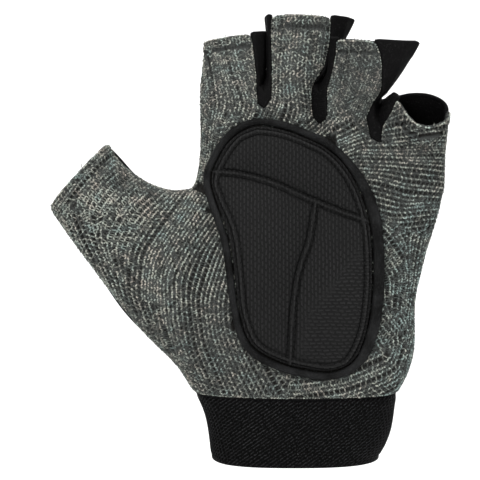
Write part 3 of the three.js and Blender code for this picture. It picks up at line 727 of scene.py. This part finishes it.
def padShadow():  # tells whether a point of the palm lies behind the pad
    spots = places(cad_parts["pad_edging"])[:, [0, 2]]
    middle = spots.mean(axis=0)
    count = 72

    def sectorOf(x, z):
        return ((np.arctan2(z, x) + pi) / (2 * pi) * count).astype(int) % count

    reach = np.hypot(*(spots - middle).T)
    sector = sectorOf(*(spots - middle).T)
    inner = [reach[sector == i].min() if (sector == i).any() else 0 for i in range(count)]

    def hidden(point):
        x, z = point[0] - middle[0], point[2] - middle[1]
        return np.hypot(x, z) < inner[sectorOf(x, z)] + palm["padMargin"]
    return hidden


def makePalm():
    piece = outerSheet("palm_panel", "palm_knit")
    area = layFlat(piece)
    subdivided(piece, palm["levels"])
    at = places(piece)
    rim = at[borderPoints(piece)]
    others = np.concatenate([edgePoints(name) for name in ("back_panel", "wrist_band", *gussetNames)])
    toHem = nearestDistance(at, rim[nearestDistance(rim, others) > palm["seamReach"]])
    runs = [(at[run], normals(piece)[run], toHem[run] > palm["sewnReach"]) for run in borderRuns(piece)]
    rolledEdge(piece, palm["edgeRadius"], palm["edgeDepth"])
    pastHem = toHem - palm["hemHeight"]
    groove = hump(pastHem, 0, palm["grooveHalf"])
    ridge = hump(pastHem, -palm["ridgeDrop"], palm["ridgeHalf"])
    lift = ridge * palm["hemRidge"] - groove * palm["hemGroove"] + foldLift(places(piece))
    setPlaces(piece, places(piece) + normals(piece) * lift[:, None])
    cloth = Cloth(piece)
    cloth.groove, cloth.open, cloth.runs = groove, at, runs
    hidden = padShadow()
    behind = np.array([float(hidden(point)) for point in cloth.at])
    field = drawField(cloth, hidden)
    lines = drawRibs(field)
    print(len(lines), "ribs drawn")
    count = thickened(piece, palm["wall"])
    spots = [(x, y, 0) for x, y in np.concatenate(lines)]
    toRib = nearestDistance([(u, v, 0) for u, v in cloth.flat], spots)
    trough = smoothStep(toRib, palm["troughStart"], palm["troughEnd"])
    raised(piece, count, -palm["troughDepth"] * trough)
    # The trough mark also darkens the knit's colour: painted shade in the holes between the ribs.
    attribute(piece, "trough", trough)
    # The groove mark takes the glints out of the hem groove, painting shade there, and out of the palm behind
    # the pad.
    attribute(piece, "groove", np.maximum(groove, behind))
    attribute(piece, "hem", 1 - smoothStep(toHem, palm["hemHeight"] * 0.9, palm["hemHeight"] * 1.1))
    smoothShaded(piece)
    finishPalm(piece)
    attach(piece, "root")
    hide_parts("palm_panel")
    flatSize(piece)
    return cloth, field, lines


def finishPalm(piece):
    knit = Finish("greyKnit", Specular_IOR_Level=0.06)
    place = knit.place()
    trough = knit.stored("trough")
    hem = knit.stored("hem")
    fuzz = knit.noise(place, 0.6 * mm, 2.0)
    patch = knit.noise(place, 12 * mm)
    # The troughs between the ribs are painted darker: painted shade in the knit's holes.
    strand = (1 - trough) * (0.5 + 0.4 * patch) + knit.step(fuzz, 0.5, 0.75) * 0.4
    cloth = knit.mix(strand * (1 - hem * 0.25), grey(0.006, (1.1, 1.0, 0.9)), grey(0.056, (0.93, 1.0, 0.96)))
    speck = knit.step(knit.noise(place, 0.42 * mm, 1.0), 0.58, 0.72)
    # Glints are fewer in the troughs and left out of the hem groove, which paints shade into those hollows; they
    # are also left out behind the pad.
    glint = speck * (1 - trough * 0.75) * (1 - knit.stored("groove"))
    colour = knit.mix(glint * 0.5, cloth, grey(0.3, (0.94, 1.0, 0.95)))
    knit.dress([piece], colour, 0.85, fuzz, 0.2 * mm)


# Yarn grains along the ribs, and links from rib to rib

yarn = {
    "joint": 1.0 * mm,
    "sway": 0.36 * mm,
    "width": 0.92 * mm,
    "height": 0.42 * mm,
    "sink": 0.3 * mm,
    "linkWidth": 0.62 * mm,
    "linkHeight": 0.26 * mm,
    "linkReach": 1.55,
    "linkOnward": 0.35,
    "overlap": 0.12,
    "unevenness": 0.05 * mm,
    "outside": 0.05 * mm,
    "hemShare": 0.6,
}


def jointsOf(lines):  # even joints along each line that step from side to side
    found = []
    for line in lines:
        run = lengthAt(line)
        count = max(2, int(run[-1] / yarn["joint"]) + 1)
        first = draws.random() * (run[-1] % yarn["joint"])
        even = np.minimum(np.arange(count) * yarn["joint"] + first, run[-1])
        spots = np.column_stack([np.interp(even, run, line[:, i]) for i in (0, 1)])
        ways = unit(np.gradient(spots, axis=0))
        sides = np.where(np.arange(count) % 2, 1, -1)
        sway = sides[:, None] * yarn["sway"] + draws.normal(0, yarn["unevenness"], (count, 1))
        spots += np.column_stack([-ways[:, 1], ways[:, 0]]) * sway
        found.append((spots, ways, sides))
    return found


def grainMesh(name, rows):  # rows of start, end, outward direction, width, height and shade
    start, end, out = (np.array([row[i] for row in rows]) for i in range(3))
    width, height, shade = (np.array([row[i] for row in rows])[:, None] for i in (3, 4, 5))
    run = end - start
    side = unit(np.cross(out, run))
    base = -out * yarn["sink"]
    corners = [start - run * yarn["overlap"] + base]
    for share in (0.26, 0.74):
        centre = start + run * share
        corners += [centre - side * width / 2 + base, centre + out * height, centre + side * width / 2 + base]
    corners.append(end + run * yarn["overlap"] + base)
    points = np.stack(corners, axis=1).reshape(-1, 3)
    ends = [(0, 1, 2), (0, 2, 3), (0, 3, 1), (4, 7, 5), (5, 7, 6), (6, 7, 4)]
    loops = [*ends[:3], (1, 4, 5, 2), (2, 5, 6, 3), (3, 6, 4, 1), *ends[3:]]
    faces = [tuple(8 * n + i for i in loop) for n in range(len(rows)) for loop in loops]
    piece = pieceOf(name, points, faces)
    outwards(piece)
    attribute(piece, "shade", np.repeat(shade[:, 0], 8))
    smoothShaded(piece)
    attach(piece, "root")
    print(name, len(rows), "grains")
    return piece


def makeYarns(cloth, field, lines):
    joints, grains, links = [], [], []
    for number, (spots, ways, sides) in enumerate(jointsOf(lines)):
        last = None
        for spot, way, side in zip(spots, ways, sides):
            solid, out, corners, gap = cloth.solid(spot)
            if gap > yarn["outside"] or cloth.groove[corners].mean() > yarn["hemShare"]:
                last = None
                continue
            a, b = ((spot - field["low"]) / ribs["cell"] + 0.5).astype(int)
            joints.append((number, spot, way, side, solid, out, field["link"][a, b], field["room"][a, b]))
            if last is not None:
                # The field's lightness carries the grain table's painted light and shade; the random share is
                # the yarn's melange.
                shade = field["light"][a, b] * drawn(0.14, 0.88, 1.2)
                width = yarn["width"] * drawn(0.85, 1.15)
                grains.append((last, solid, out, width, yarn["height"] * drawn(0.8, 1.2), shade))
            last = solid
    tree = spotTree([(*joint[1], 0) for joint in joints])
    for number, spot, way, side, solid, out, link, room in joints:
        for _, i, _ in tree.find_range((*spot, 0), room * yarn["linkReach"]):
            otherNumber, otherSpot, _, otherSide, otherSolid = joints[i][:5]
            gap = otherSpot - spot
            onward = (way[0] * gap[1] - way[1] * gap[0]) * side
            if otherNumber == number or otherSide == side or onward < room * yarn["linkOnward"]:
                continue
            shade = link * drawn(0.2, 0.9, 1.4)
            links.append((solid, otherSolid, out, yarn["linkWidth"], yarn["linkHeight"], shade))
            break
    rows = {"palm_ribs": grains, "palm_links": links, "palm_edges": edgeGrains(cloth)}
    finishYarns([grainMesh(name, rows[name]) for name in rows])


# Yarn loops along the palm's cut edges, a few loose ends at the openings, and the black seam under the edges

edges = {
    "reach": 2.2 * mm,
    "shortest": 12,
    "loop": 1.15 * mm,
    "inset": 0.55 * mm,
    "width": 0.8 * mm,
    "height": 0.35 * mm,
    "sewnDrop": 0.35 * mm,
    "openDrop": 0.05 * mm,
    "unevenness": 0.12 * mm,
    "frayShare": 0.2,
    "frayTurn": 0.45,
    "frayWidth": 0.36 * mm,
    "frayHeight": 0.05 * mm,
    "seamStep": 1.2 * mm,
    "seamRadius": 0.85 * mm,
    "seamSink": 1.0 * mm,
}
# Where the seam shows more, in millimetres: its place across and up, its reach, and how much thicker it is.
seamShows = [(-70, 121, 8, 1.0), (-74, 66, 12, 0.35), (-62, 52, 10, 0.35)]


def evenRun(points, spacing, *others):  # the run with even spacing, and what goes with it
    run = lengthAt(points)
    even = np.linspace(0, run[-1], max(3, int(run[-1] / spacing)))
    return [np.column_stack([np.interp(even, run, each[:, i]) for i in range(3)]) for each in (points, *others)]


def seamRuns(cloth):  # the closed border runs cut where they pass an opening: seams first, then openings
    found = {True: [], False: []}
    for points, outs, sewn in cloth.runs:
        points, outs, sewn = (np.concatenate([part, part[:1]]) for part in (points, outs, sewn))
        changes = np.flatnonzero(np.diff(sewn.astype(int))) + 1
        for part in np.split(np.arange(len(points)), changes):
            if len(part) > edges["shortest"]:
                found[bool(sewn[part[len(part) // 2]])].append((points[part], outs[part]))
    return found[True], found[False]


def inwardWays(cloth, points):  # from the border towards the cloth
    tree = spotTree(cloth.open)
    nearby = [np.mean([near[0] for near in tree.find_range(point, edges["reach"])], axis=0) for point in points]
    return unit(np.array(nearby) - points)


def edgeGrains(cloth):
    rows = []
    drops = (edges["sewnDrop"], edges["openDrop"])
    for runs, drop, fray in zip(seamRuns(cloth), drops, (0, edges["frayShare"])):
        for points, outs in runs:
            points, outs = evenRun(points, edges["loop"], outs)
            inward = inwardWays(cloth, points)
            middles = points + inward * edges["inset"] - outs * drop
            middles += inward * draws.normal(0, edges["unevenness"], (len(points), 1))
            for i in range(len(points) - 1):
                shade = drawn(0.15, 0.9)
                rows.append((middles[i], middles[i + 1], outs[i], edges["width"], edges["height"], shade))
                if fray and draws.random() < fray:
                    way = -inward[i] + draws.normal(0, edges["frayTurn"], 3)
                    end = points[i] + way * drawn(0.4 * mm, 1.2 * mm, 2)
                    size = (edges["frayWidth"], edges["frayHeight"])
                    rows.append((points[i], end, outs[i], *size, drawn(0.3, 0.7)))
    return rows


def makeSeam(cloth):
    runs = []
    for points, outs in seamRuns(cloth)[0]:
        points, outs = evenRun(points, edges["seamStep"], outs)
        outs = unit(outs)
        radii = np.full(len(points), edges["seamRadius"])
        for x, z, reach, more in seamShows:
            away = np.hypot(points[:, 0] - x * mm, points[:, 2] - z * mm)
            radii += more * mm * hump(away, 0, reach * mm)
        runs.append((points - outs * edges["seamSink"], outs, radii))
    piece = tubes("palm_seam", runs)
    return piece


def finishYarns(pieces):
    strand = Finish("greyYarn", Specular_IOR_Level=0.12)
    place = strand.place()
    shade = strand.stored("shade")
    x, _, z = strand.parts(place)
    blue = strand.step(x, 26 * mm, 42 * mm) * (1 - strand.step(z, 100 * mm, 114 * mm))
    tint = strand.ramp(strand.noise(place, 5 * mm, 3.0) - blue * 0.16, [
        (0.3, (0.26, 0.33, 0.31, 1)), (0.5, (0.36, 0.38, 0.33, 1)), (0.7, (0.42, 0.38, 0.33, 1)),
    ])
    speck = strand.noise(place, 0.42 * mm, 1.0)
    # The stored shade holds the yarn's random melange and the grain table's painted light and shade.
    light = strand.step(shade * (0.1 + 1.8 * speck), 0.08, 0.85)
    colour = strand.mix(light, grey(0.04, (0.93, 1, 0.95)), tint)
    strand.dress(pieces, colour, 0.75, speck, 0.12 * mm)


palmCloth, ribField, ribLines = makePalm()
makeYarns(palmCloth, ribField, ribLines)
seamPiece = makeSeam(palmCloth)
print("the palm knit is in")


# Black stretch knit of the back and the gussets

back = {"levels": 2, "wall": 1.2 * mm, "edgeRadius": 1.6 * mm, "edgeDepth": 1.1 * mm, "stitchPitch": 0.9 * mm}
gusset = {"levels": 3, "width": 26 * mm, "crease": 0.75, "slack": 0.6 * mm, "creaseAngle": radians(62)}


def finishStretch(pieces):
    stretch = Finish("blackStretch", Specular_IOR_Level=0.04)
    place = stretch.place()
    x, y, z = stretch.parts(place)
    rows = stretch.maths("SINE", z / (back["stitchPitch"] / (2 * pi)))
    columns = stretch.maths("SINE", (x + y * 0.6) / (back["stitchPitch"] / (2 * pi)))
    weave = rows * columns
    glint = stretch.step(stretch.noise(place, 0.8 * mm), 0.56, 0.72)
    wear = stretch.noise(place, 18 * mm, 3.0)
    colour = stretch.mix(wear * 0.5 + glint * 0.8, grey(0.001), grey(0.009, (1, 0.97, 1.0)))
    stretch.dress(pieces, colour, 0.7, weave * 0.5 + stretch.noise(place, 0.6 * mm) * 0.5, 0.12 * mm)


# Where the back shows past the palm's edge, in millimetres: its place, its reach, and its shift right and up.
backShows = [(-70, 121, 8, 1.5, 1.3), (-69, 59, 13, -0.9, -0.8)]


def makeBack():
    piece = outerSheet("back_panel", "back_knit")
    area = layFlat(piece)
    subdivided(piece, back["levels"])
    at = places(piece)
    for x, z, reach, right, rise in backShows:
        away = np.hypot(at[:, 0] - x * mm, at[:, 2] - z * mm)
        at += hump(away, 0, reach * mm)[:, None] * np.array([right, 0, rise]) * mm
    setPlaces(piece, at)
    rolledEdge(piece, back["edgeRadius"], back["edgeDepth"])
    thickened(piece, back["wall"])
    smoothShaded(piece)
    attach(piece, "root")
    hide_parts("back_panel")
    flatSize(piece)
    return piece


def makeGusset(nodeName):
    piece = copyNode(nodeName, nodeName + "_knit")
    with editing(piece, "DESELECT"):
        bpy.ops.mesh.edges_select_sharp(sharpness=gusset["creaseAngle"])
        bpy.ops.transform.edge_crease(value=gusset["crease"])
    subdivided(piece, gusset["levels"])
    setPlaces(piece, places(piece) + normals(piece) * gusset["slack"])
    smoothShaded(piece)
    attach(piece, "root")
    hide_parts(nodeName)
    return piece


finishStretch([makeBack(), *[makeGusset(name) for name in gussetNames], seamPiece])
print("the back and the gussets are in")


# Ribbed elastic band round the wrist

band = {
    "height": 27 * mm,
    "columns": 720,
    "rows": 22,
    "ridgePitch": 1.2 * mm,
    "ridgeSlope": radians(35),
    "ridgeHeight": 0.22 * mm,
    "selvedge": 1.6 * mm,
    "rayInset": 1.2 * mm,
    "wall": 1.2 * mm,
}


def makeBand():
    low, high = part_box("wrist_band")
    middle = (Vector(low) + Vector(high)) / 2
    source = copyNode("wrist_band", "bandSource")
    subdivided(source, 2)
    tree = BVHTree.FromObject(source, bpy.context.evaluated_depsgraph_get())
    rim = places(source)
    bpy.data.objects.remove(source)
    bpy.ops.mesh.primitive_grid_add(x_subdivisions=band["columns"], y_subdivisions=band["rows"], size=1)
    piece = bpy.context.object
    piece.name = "wrist_elastic"
    grid = places(piece)
    angle = (grid[:, 0] + 0.5) * 2 * pi
    share = grid[:, 1] + 0.5
    around = np.column_stack([np.sin(angle), -np.cos(angle), np.zeros(len(angle))])
    edgeLow, edgeHigh = bandEdges(rim, middle, angle)
    height = edgeLow + (edgeHigh - edgeLow) * share
    out = np.empty((len(angle), 3))
    level = np.clip(height, edgeLow + band["rayInset"], edgeHigh - band["rayInset"])
    for i, direction in enumerate(around):
        start = Vector((middle.x, middle.y, level[i])) + Vector(direction) * 0.09
        out[i] = tree.ray_cast(start, -Vector(direction))[0]
    out[:, 2] = height
    laid = np.column_stack([runAround(out, grid), height])
    piece.data.uv_layers.active.name = "cloth"
    piece.data.uv_layers["cloth"].data.foreach_set("uv", laid[loopVertices(piece.data)].ravel())
    wave = (laid[:, 0] * sin(band["ridgeSlope"]) - laid[:, 1] * cos(band["ridgeSlope"])) / band["ridgePitch"]
    inner = smoothStep(np.minimum(height - edgeLow, edgeHigh - height), band["selvedge"] / 2, band["selvedge"])
    ridge = band["ridgeHeight"] * np.cos(wave * 2 * pi) * inner
    out += around * ridge[:, None]
    setPlaces(piece, out)
    with editing(piece):
        bpy.ops.mesh.remove_doubles(threshold=0.02 * mm)
        bpy.ops.mesh.normals_make_consistent(inside=False)
    applyModifier(piece, "SOLIDIFY", thickness=band["wall"], offset=-1)
    smoothShaded(piece)
    finishBand(piece)
    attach(piece, "root")
    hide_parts("wrist_band")


def bandEdges(rim, middle, angle):  # the band's lowest and highest place at each angle
    turned = np.arctan2(rim[:, 0] - middle.x, -(rim[:, 1] - middle.y)) % (2 * pi)
    count = 48
    sector = (turned / (2 * pi) * count).astype(int) % count
    lows = np.array([rim[sector == i, 2].min() for i in range(count)])
    highs = np.array([rim[sector == i, 2].max() for i in range(count)])
    centres = (np.arange(count) + 0.5) / count * 2 * pi
    return [np.interp(angle % (2 * pi), centres, values, period=2 * pi) for values in (lows, highs)]


def runAround(out, grid):  # the length run round the band at each point's column
    columns = np.unique(np.round(grid[:, 0], 6))
    levels = np.unique(np.round(grid[:, 1], 6))
    row = np.where(np.abs(grid[:, 1] - levels[len(levels) // 2]) < 1e-5)[0]
    row = row[np.argsort(grid[row, 0])]
    return lengthAt(out[row])[np.searchsorted(columns, np.round(grid[:, 0], 6))]


def finishBand(piece):
    elastic = Finish("ribbedElastic", Specular_IOR_Level=0.03)
    u, v, _ = elastic.parts(elastic.cloth())
    wave = (u * sin(band["ridgeSlope"]) - v * cos(band["ridgeSlope"])) / band["ridgePitch"]
    ridge = elastic.maths("COSINE", wave * 2 * pi) * 0.5 + 0.5
    along = u * cos(band["ridgeSlope"]) + v * sin(band["ridgeSlope"])
    strands = elastic.noise(elastic.vector(along * 0.6, wave * band["ridgePitch"] * 2), 0.5 * mm, 1.0)
    wear = elastic.noise(elastic.place(), 12 * mm, 3.0)
    # The ridge tops are painted lighter than the furrows, a painted highlight on the twill; the strands are the
    # elastic's own weave.
    light = elastic.step(ridge, 0.45, 1.0) * elastic.step(strands, 0.42, 0.68) * (0.5 + wear * 0.6)
    colour = elastic.mix(light, grey(0.0004), grey(0.036, (1, 1, 1.04)))
    elastic.dress([piece], colour, 0.62, ridge * 0.4 + strands * 0.6, 0.12 * mm)


makeBand()
print("the wrist band is in")


# Quilted palm pad and its flat edging

pad = {
    "middleX": -2 * mm,
    "middleZ": 85.5 * mm,
    "width": 71 * mm,
    "height": 104 * mm,
    "channelHalf": 1.1 * mm,
    "channelDepth": 1.3 * mm,
    "channelWidth": 0.42,
    "ribPitch": 1.4 * mm,
    "dash": 2.7 * mm,
    "swellLimit": 1.6 * mm,
    "borderInset": 5.4 * mm,
    "stitch": 2 * mm,
    "stitchShare": 0.72,
    "threadWidth": 0.5 * mm,
    "threadHeight": 0.22 * mm,
    "pressure": 4.0,
    "quality": 6,
    "frames": 20,
    "edgingShift": 1.6 * mm,
}
# The pad's outline and seams, in shares of its half width and half height.
padOutline = [
    (-0.393, 1.0), (-0.098, 0.97), (0.197, 0.9), (0.481, 0.789), (0.721, 0.619), (0.885, 0.404), (0.973, 0.144),
    (1.0, -0.13), (0.984, -0.404), (0.907, -0.685), (0.721, -0.922), (0.448, -1.0), (0.12, -0.978),
    (-0.219, -0.907), (-0.503, -0.778), (-0.661, -0.522), (-0.71, -0.241), (-0.776, 0.085), (-0.918, 0.322),
    (-0.995, 0.5), (-0.896, 0.704), (-0.678, 0.907),
]
padSeams = [
    [(-0.93, 0.582), (-0.568, 0.559), (-0.24, 0.5), (0.066, 0.411), (0.284, 0.345), (0.579, 0.263),
     (0.93, 0.18)],
    [(0.284, 0.345), (0.208, 0.056), (0.126, -0.107), (0.066, -0.263), (0.019, -0.507), (-0.016, -0.88)],
]


def padRun(shares, spacing):  # even places across and up on a smooth curve through the shares
    half = np.array([pad["width"], pad["height"]]) / 2
    knots = np.array([pad["middleX"], pad["middleZ"]]) + np.array(shares) * half
    padded = np.vstack([2 * knots[0] - knots[1], knots, 2 * knots[-1] - knots[-2]])
    fine = []
    for i in range(1, len(padded) - 2):
        a, b, c, d = padded[i - 1:i + 3]
        for t in np.linspace(0, 1, 24, endpoint=False):
            squared = (2 * a - 5 * b + 4 * c - d) * t ** 2
            cubed = (3 * b - a - 3 * c + d) * t ** 3
            fine.append(0.5 * (2 * b + (c - a) * t + squared + cubed))
    fine = np.array([*fine, padded[-2]])
    run = lengthAt(fine)
    even = np.linspace(0, run[-1], max(2, int(round(run[-1] / spacing)) + 1))
    return np.column_stack([np.interp(even, run, fine[:, i]) for i in (0, 1)])


def distanceToRun(points, run):  # distance from each point to the nearest point of a run
    best = np.full(len(points), 1e9)
    for spot in run:
        best = np.minimum(best, np.hypot(points[:, 0] - spot[0], points[:, 1] - spot[1]))
    return best


def swollen(piece, pinned):
    group = piece.vertex_groups.new(name="pinned")
    for i, weight in enumerate(pinned):
        if weight > 0:
            group.add([i], float(weight), "REPLACE")
    before = places(piece)
    pick(piece)
    cloth = piece.modifiers.new("cloth", "CLOTH")
    cloth.settings.vertex_group_mass = "pinned"
    cloth.settings.use_pressure = True
    cloth.settings.uniform_pressure_force = pad["pressure"]
    cloth.settings.effector_weights.gravity = 0
    cloth.settings.quality = pad["quality"]
    cloth.collision_settings.use_collision = False
    for frameNumber in range(1, pad["frames"] + 1):
        bpy.context.scene.frame_set(frameNumber)
    bpy.ops.object.modifier_apply(modifier="cloth")
    bpy.context.scene.frame_set(1)
    moved = places(piece) - before
    size = np.linalg.norm(moved, axis=1, keepdims=True)
    setPlaces(piece, before + moved * np.minimum(1, pad["swellLimit"] / np.maximum(size, 1e-9)))
    piece.vertex_groups.clear()
    print("pad swell", round(float(size.max()) * 1000, 2), "mm at most, before the limit")


def makePad():
    piece = copyNode("pad_cushion", "palm_pad")
    subdivided(piece, 1)
    channels = [padRun(seam, 0.8 * mm) for seam in padSeams]
    at = places(piece)
    channelAway = np.minimum(*[distanceToRun(at[:, [0, 2]], run) for run in channels])
    front = normals(piece)[:, 1] < -0.25
    pinned = np.where(front, 1 - smoothStep(channelAway, 1.2 * mm, 3 * mm), 1.0)
    swollen(piece, pinned)
    subdivided(piece, 2)
    at = places(piece)
    out = normals(piece)
    flat = at[:, [0, 2]]
    outline = padRun([*padOutline, padOutline[0]], 0.5 * mm)
    channelAway = np.minimum(*[distanceToRun(flat, run) for run in channels])
    channelAway = np.minimum(channelAway, abs(distanceToRun(flat, outline) - pad["borderInset"]))
    front = smoothStep(-out[:, 1], 0.2, 0.5)
    away = channelAway / pad["channelHalf"]
    groove = hump(away, 1, pad["channelWidth"])
    at -= out * (front * (groove * 0.7 - hump(away, 0, 0.5) * 0.25) * pad["channelDepth"])[:, None]
    setPlaces(piece, at)
    # The groove mark is painted shade in the quilting grooves; the ridge mark is a painted highlight on the
    # raised ridge between them.
    attribute(piece, "groove", front * groove)
    attribute(piece, "ridge", front * hump(away, 0, 0.45))
    makeStitches(piece, [*channels, outline])
    smoothShaded(piece)
    finishPad(piece)
    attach(piece, "root")
    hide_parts("pad_cushion")


def beside(run, away):  # the flat run moved to its left
    ways = unit(np.gradient(run, axis=0))
    return run + np.column_stack([-ways[:, 1], ways[:, 0]]) * away


def makeStitches(piece, runs):  # two rows along each channel and inside the pad's edging
    tree = BVHTree.FromObject(piece, bpy.context.evaluated_depsgraph_get())
    half = pad["channelHalf"]
    offsets = [(half, -half)] * (len(runs) - 1) + [(-pad["borderInset"] - half, -pad["borderInset"] + half)]
    rows = []
    for run, sides in zip(runs, offsets):
        for side in sides:
            row = beside(run, side)
            length = lengthAt(row)
            for start in np.arange(0, length[-1] - pad["stitch"], pad["stitch"]):
                ends = []
                for place in (start, start + pad["stitch"] * pad["stitchShare"]):
                    x, z = (np.interp(place, length, row[:, i]) for i in (0, 1))
                    hit, out, _, _ = tree.ray_cast(Vector((x, -0.08, z)), Vector((0, 1, 0)))
                    ends.append(None if hit is None or out.y > -0.3 else (np.array(hit), np.array(out)))
                if None not in ends:
                    (begin, outward), (end, _) = ends
                    rows.append((begin, end, outward, pad["threadWidth"], pad["threadHeight"], 0.5))
    stitches = grainMesh("pad_stitches", rows)
    thread = Finish("padThread", Specular_IOR_Level=0.1)
    fuzz = thread.noise(thread.place(), 0.3 * mm)
    thread.dress([stitches], thread.mix(fuzz, grey(0.004), grey(0.014)), 0.6, fuzz, 0.05 * mm)


def bricks(finish, across, along):  # short raised dashes in staggered columns
    column = across / pad["ribPitch"]
    number = finish.maths("FLOOR", column)
    bulge = finish.maths("SINE", (column - number) * pi)
    gap = finish.maths("COSINE", (along / pad["dash"] + number * 0.43) * 2 * pi)
    return finish.step(bulge, 0.35, 0.95) * finish.step(gap, -0.9, -0.45)


def finishPad(piece):
    ribbed = Finish("padCloth", Specular_IOR_Level=0.04)
    place = ribbed.place()
    x, _, z = ribbed.parts(place)
    sway = ribbed.noise(place, 5 * mm) - 0.5
    x = x + sway * 0.9 * mm
    z = z + sway * 1.6 * mm
    turned = ribbed.step(x - z * 0.8 + sway * 9 * mm, -46 * mm, -38 * mm) * ribbed.step(x, 0.0, 6 * mm)
    rib = bricks(ribbed, x, z) * (1 - turned) + bricks(ribbed, z, x) * turned
    wear = ribbed.noise(place, 15 * mm, 3.0)
    fuzz = ribbed.noise(place, 0.5 * mm)
    # The raised dashes are lighter, partly the cloth's ribbed weave and partly a painted highlight on their
    # tops; the ridge mark adds a painted highlight between the grooves.
    light = rib * (0.15 + wear * 0.45) + fuzz * 0.35 + ribbed.stored("ridge") * 0.3
    cloth = ribbed.mix(light, grey(0.0045), grey(0.023))
    # Painted shade darkens the quilting grooves.
    colour = ribbed.mix(ribbed.stored("groove") * 0.8, cloth, grey(0.002))
    ribbed.dress([piece], colour, 0.72, rib, 0.3 * mm)


def makeEdging():
    piece = copyNode("pad_edging", "pad_binding")
    subdivided(piece, 2)
    at = places(piece)
    flat = at[:, [0, 2]]
    outline = padRun([*padOutline, padOutline[0]], 0.5 * mm)
    outer = 1 - smoothStep(distanceToRun(flat, outline), 0.5 * mm, 2.6 * mm)
    at[:, 0] += outer * smoothStep(flat[:, 0], 18 * mm, 32 * mm) * pad["edgingShift"]
    setPlaces(piece, at)
    smoothShaded(piece)
    binding = Finish("padBinding", Specular_IOR_Level=0.04)
    place = binding.place()
    weave = binding.noise(place, 0.7 * mm, 2.0)
    wear = binding.noise(place, 9 * mm, 3.0)
    light = binding.step(wear, 0.35, 0.65) * 0.5 + binding.step(weave, 0.45, 0.7) * 0.5
    colour = binding.mix(light, grey(0.003), grey(0.015, (0.98, 1, 1.02)))
    binding.dress([piece], colour, 0.6, weave, 0.1 * mm)
    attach(piece, "root")
    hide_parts("pad_edging")


makePad()
makeEdging()
print("the pad is in")
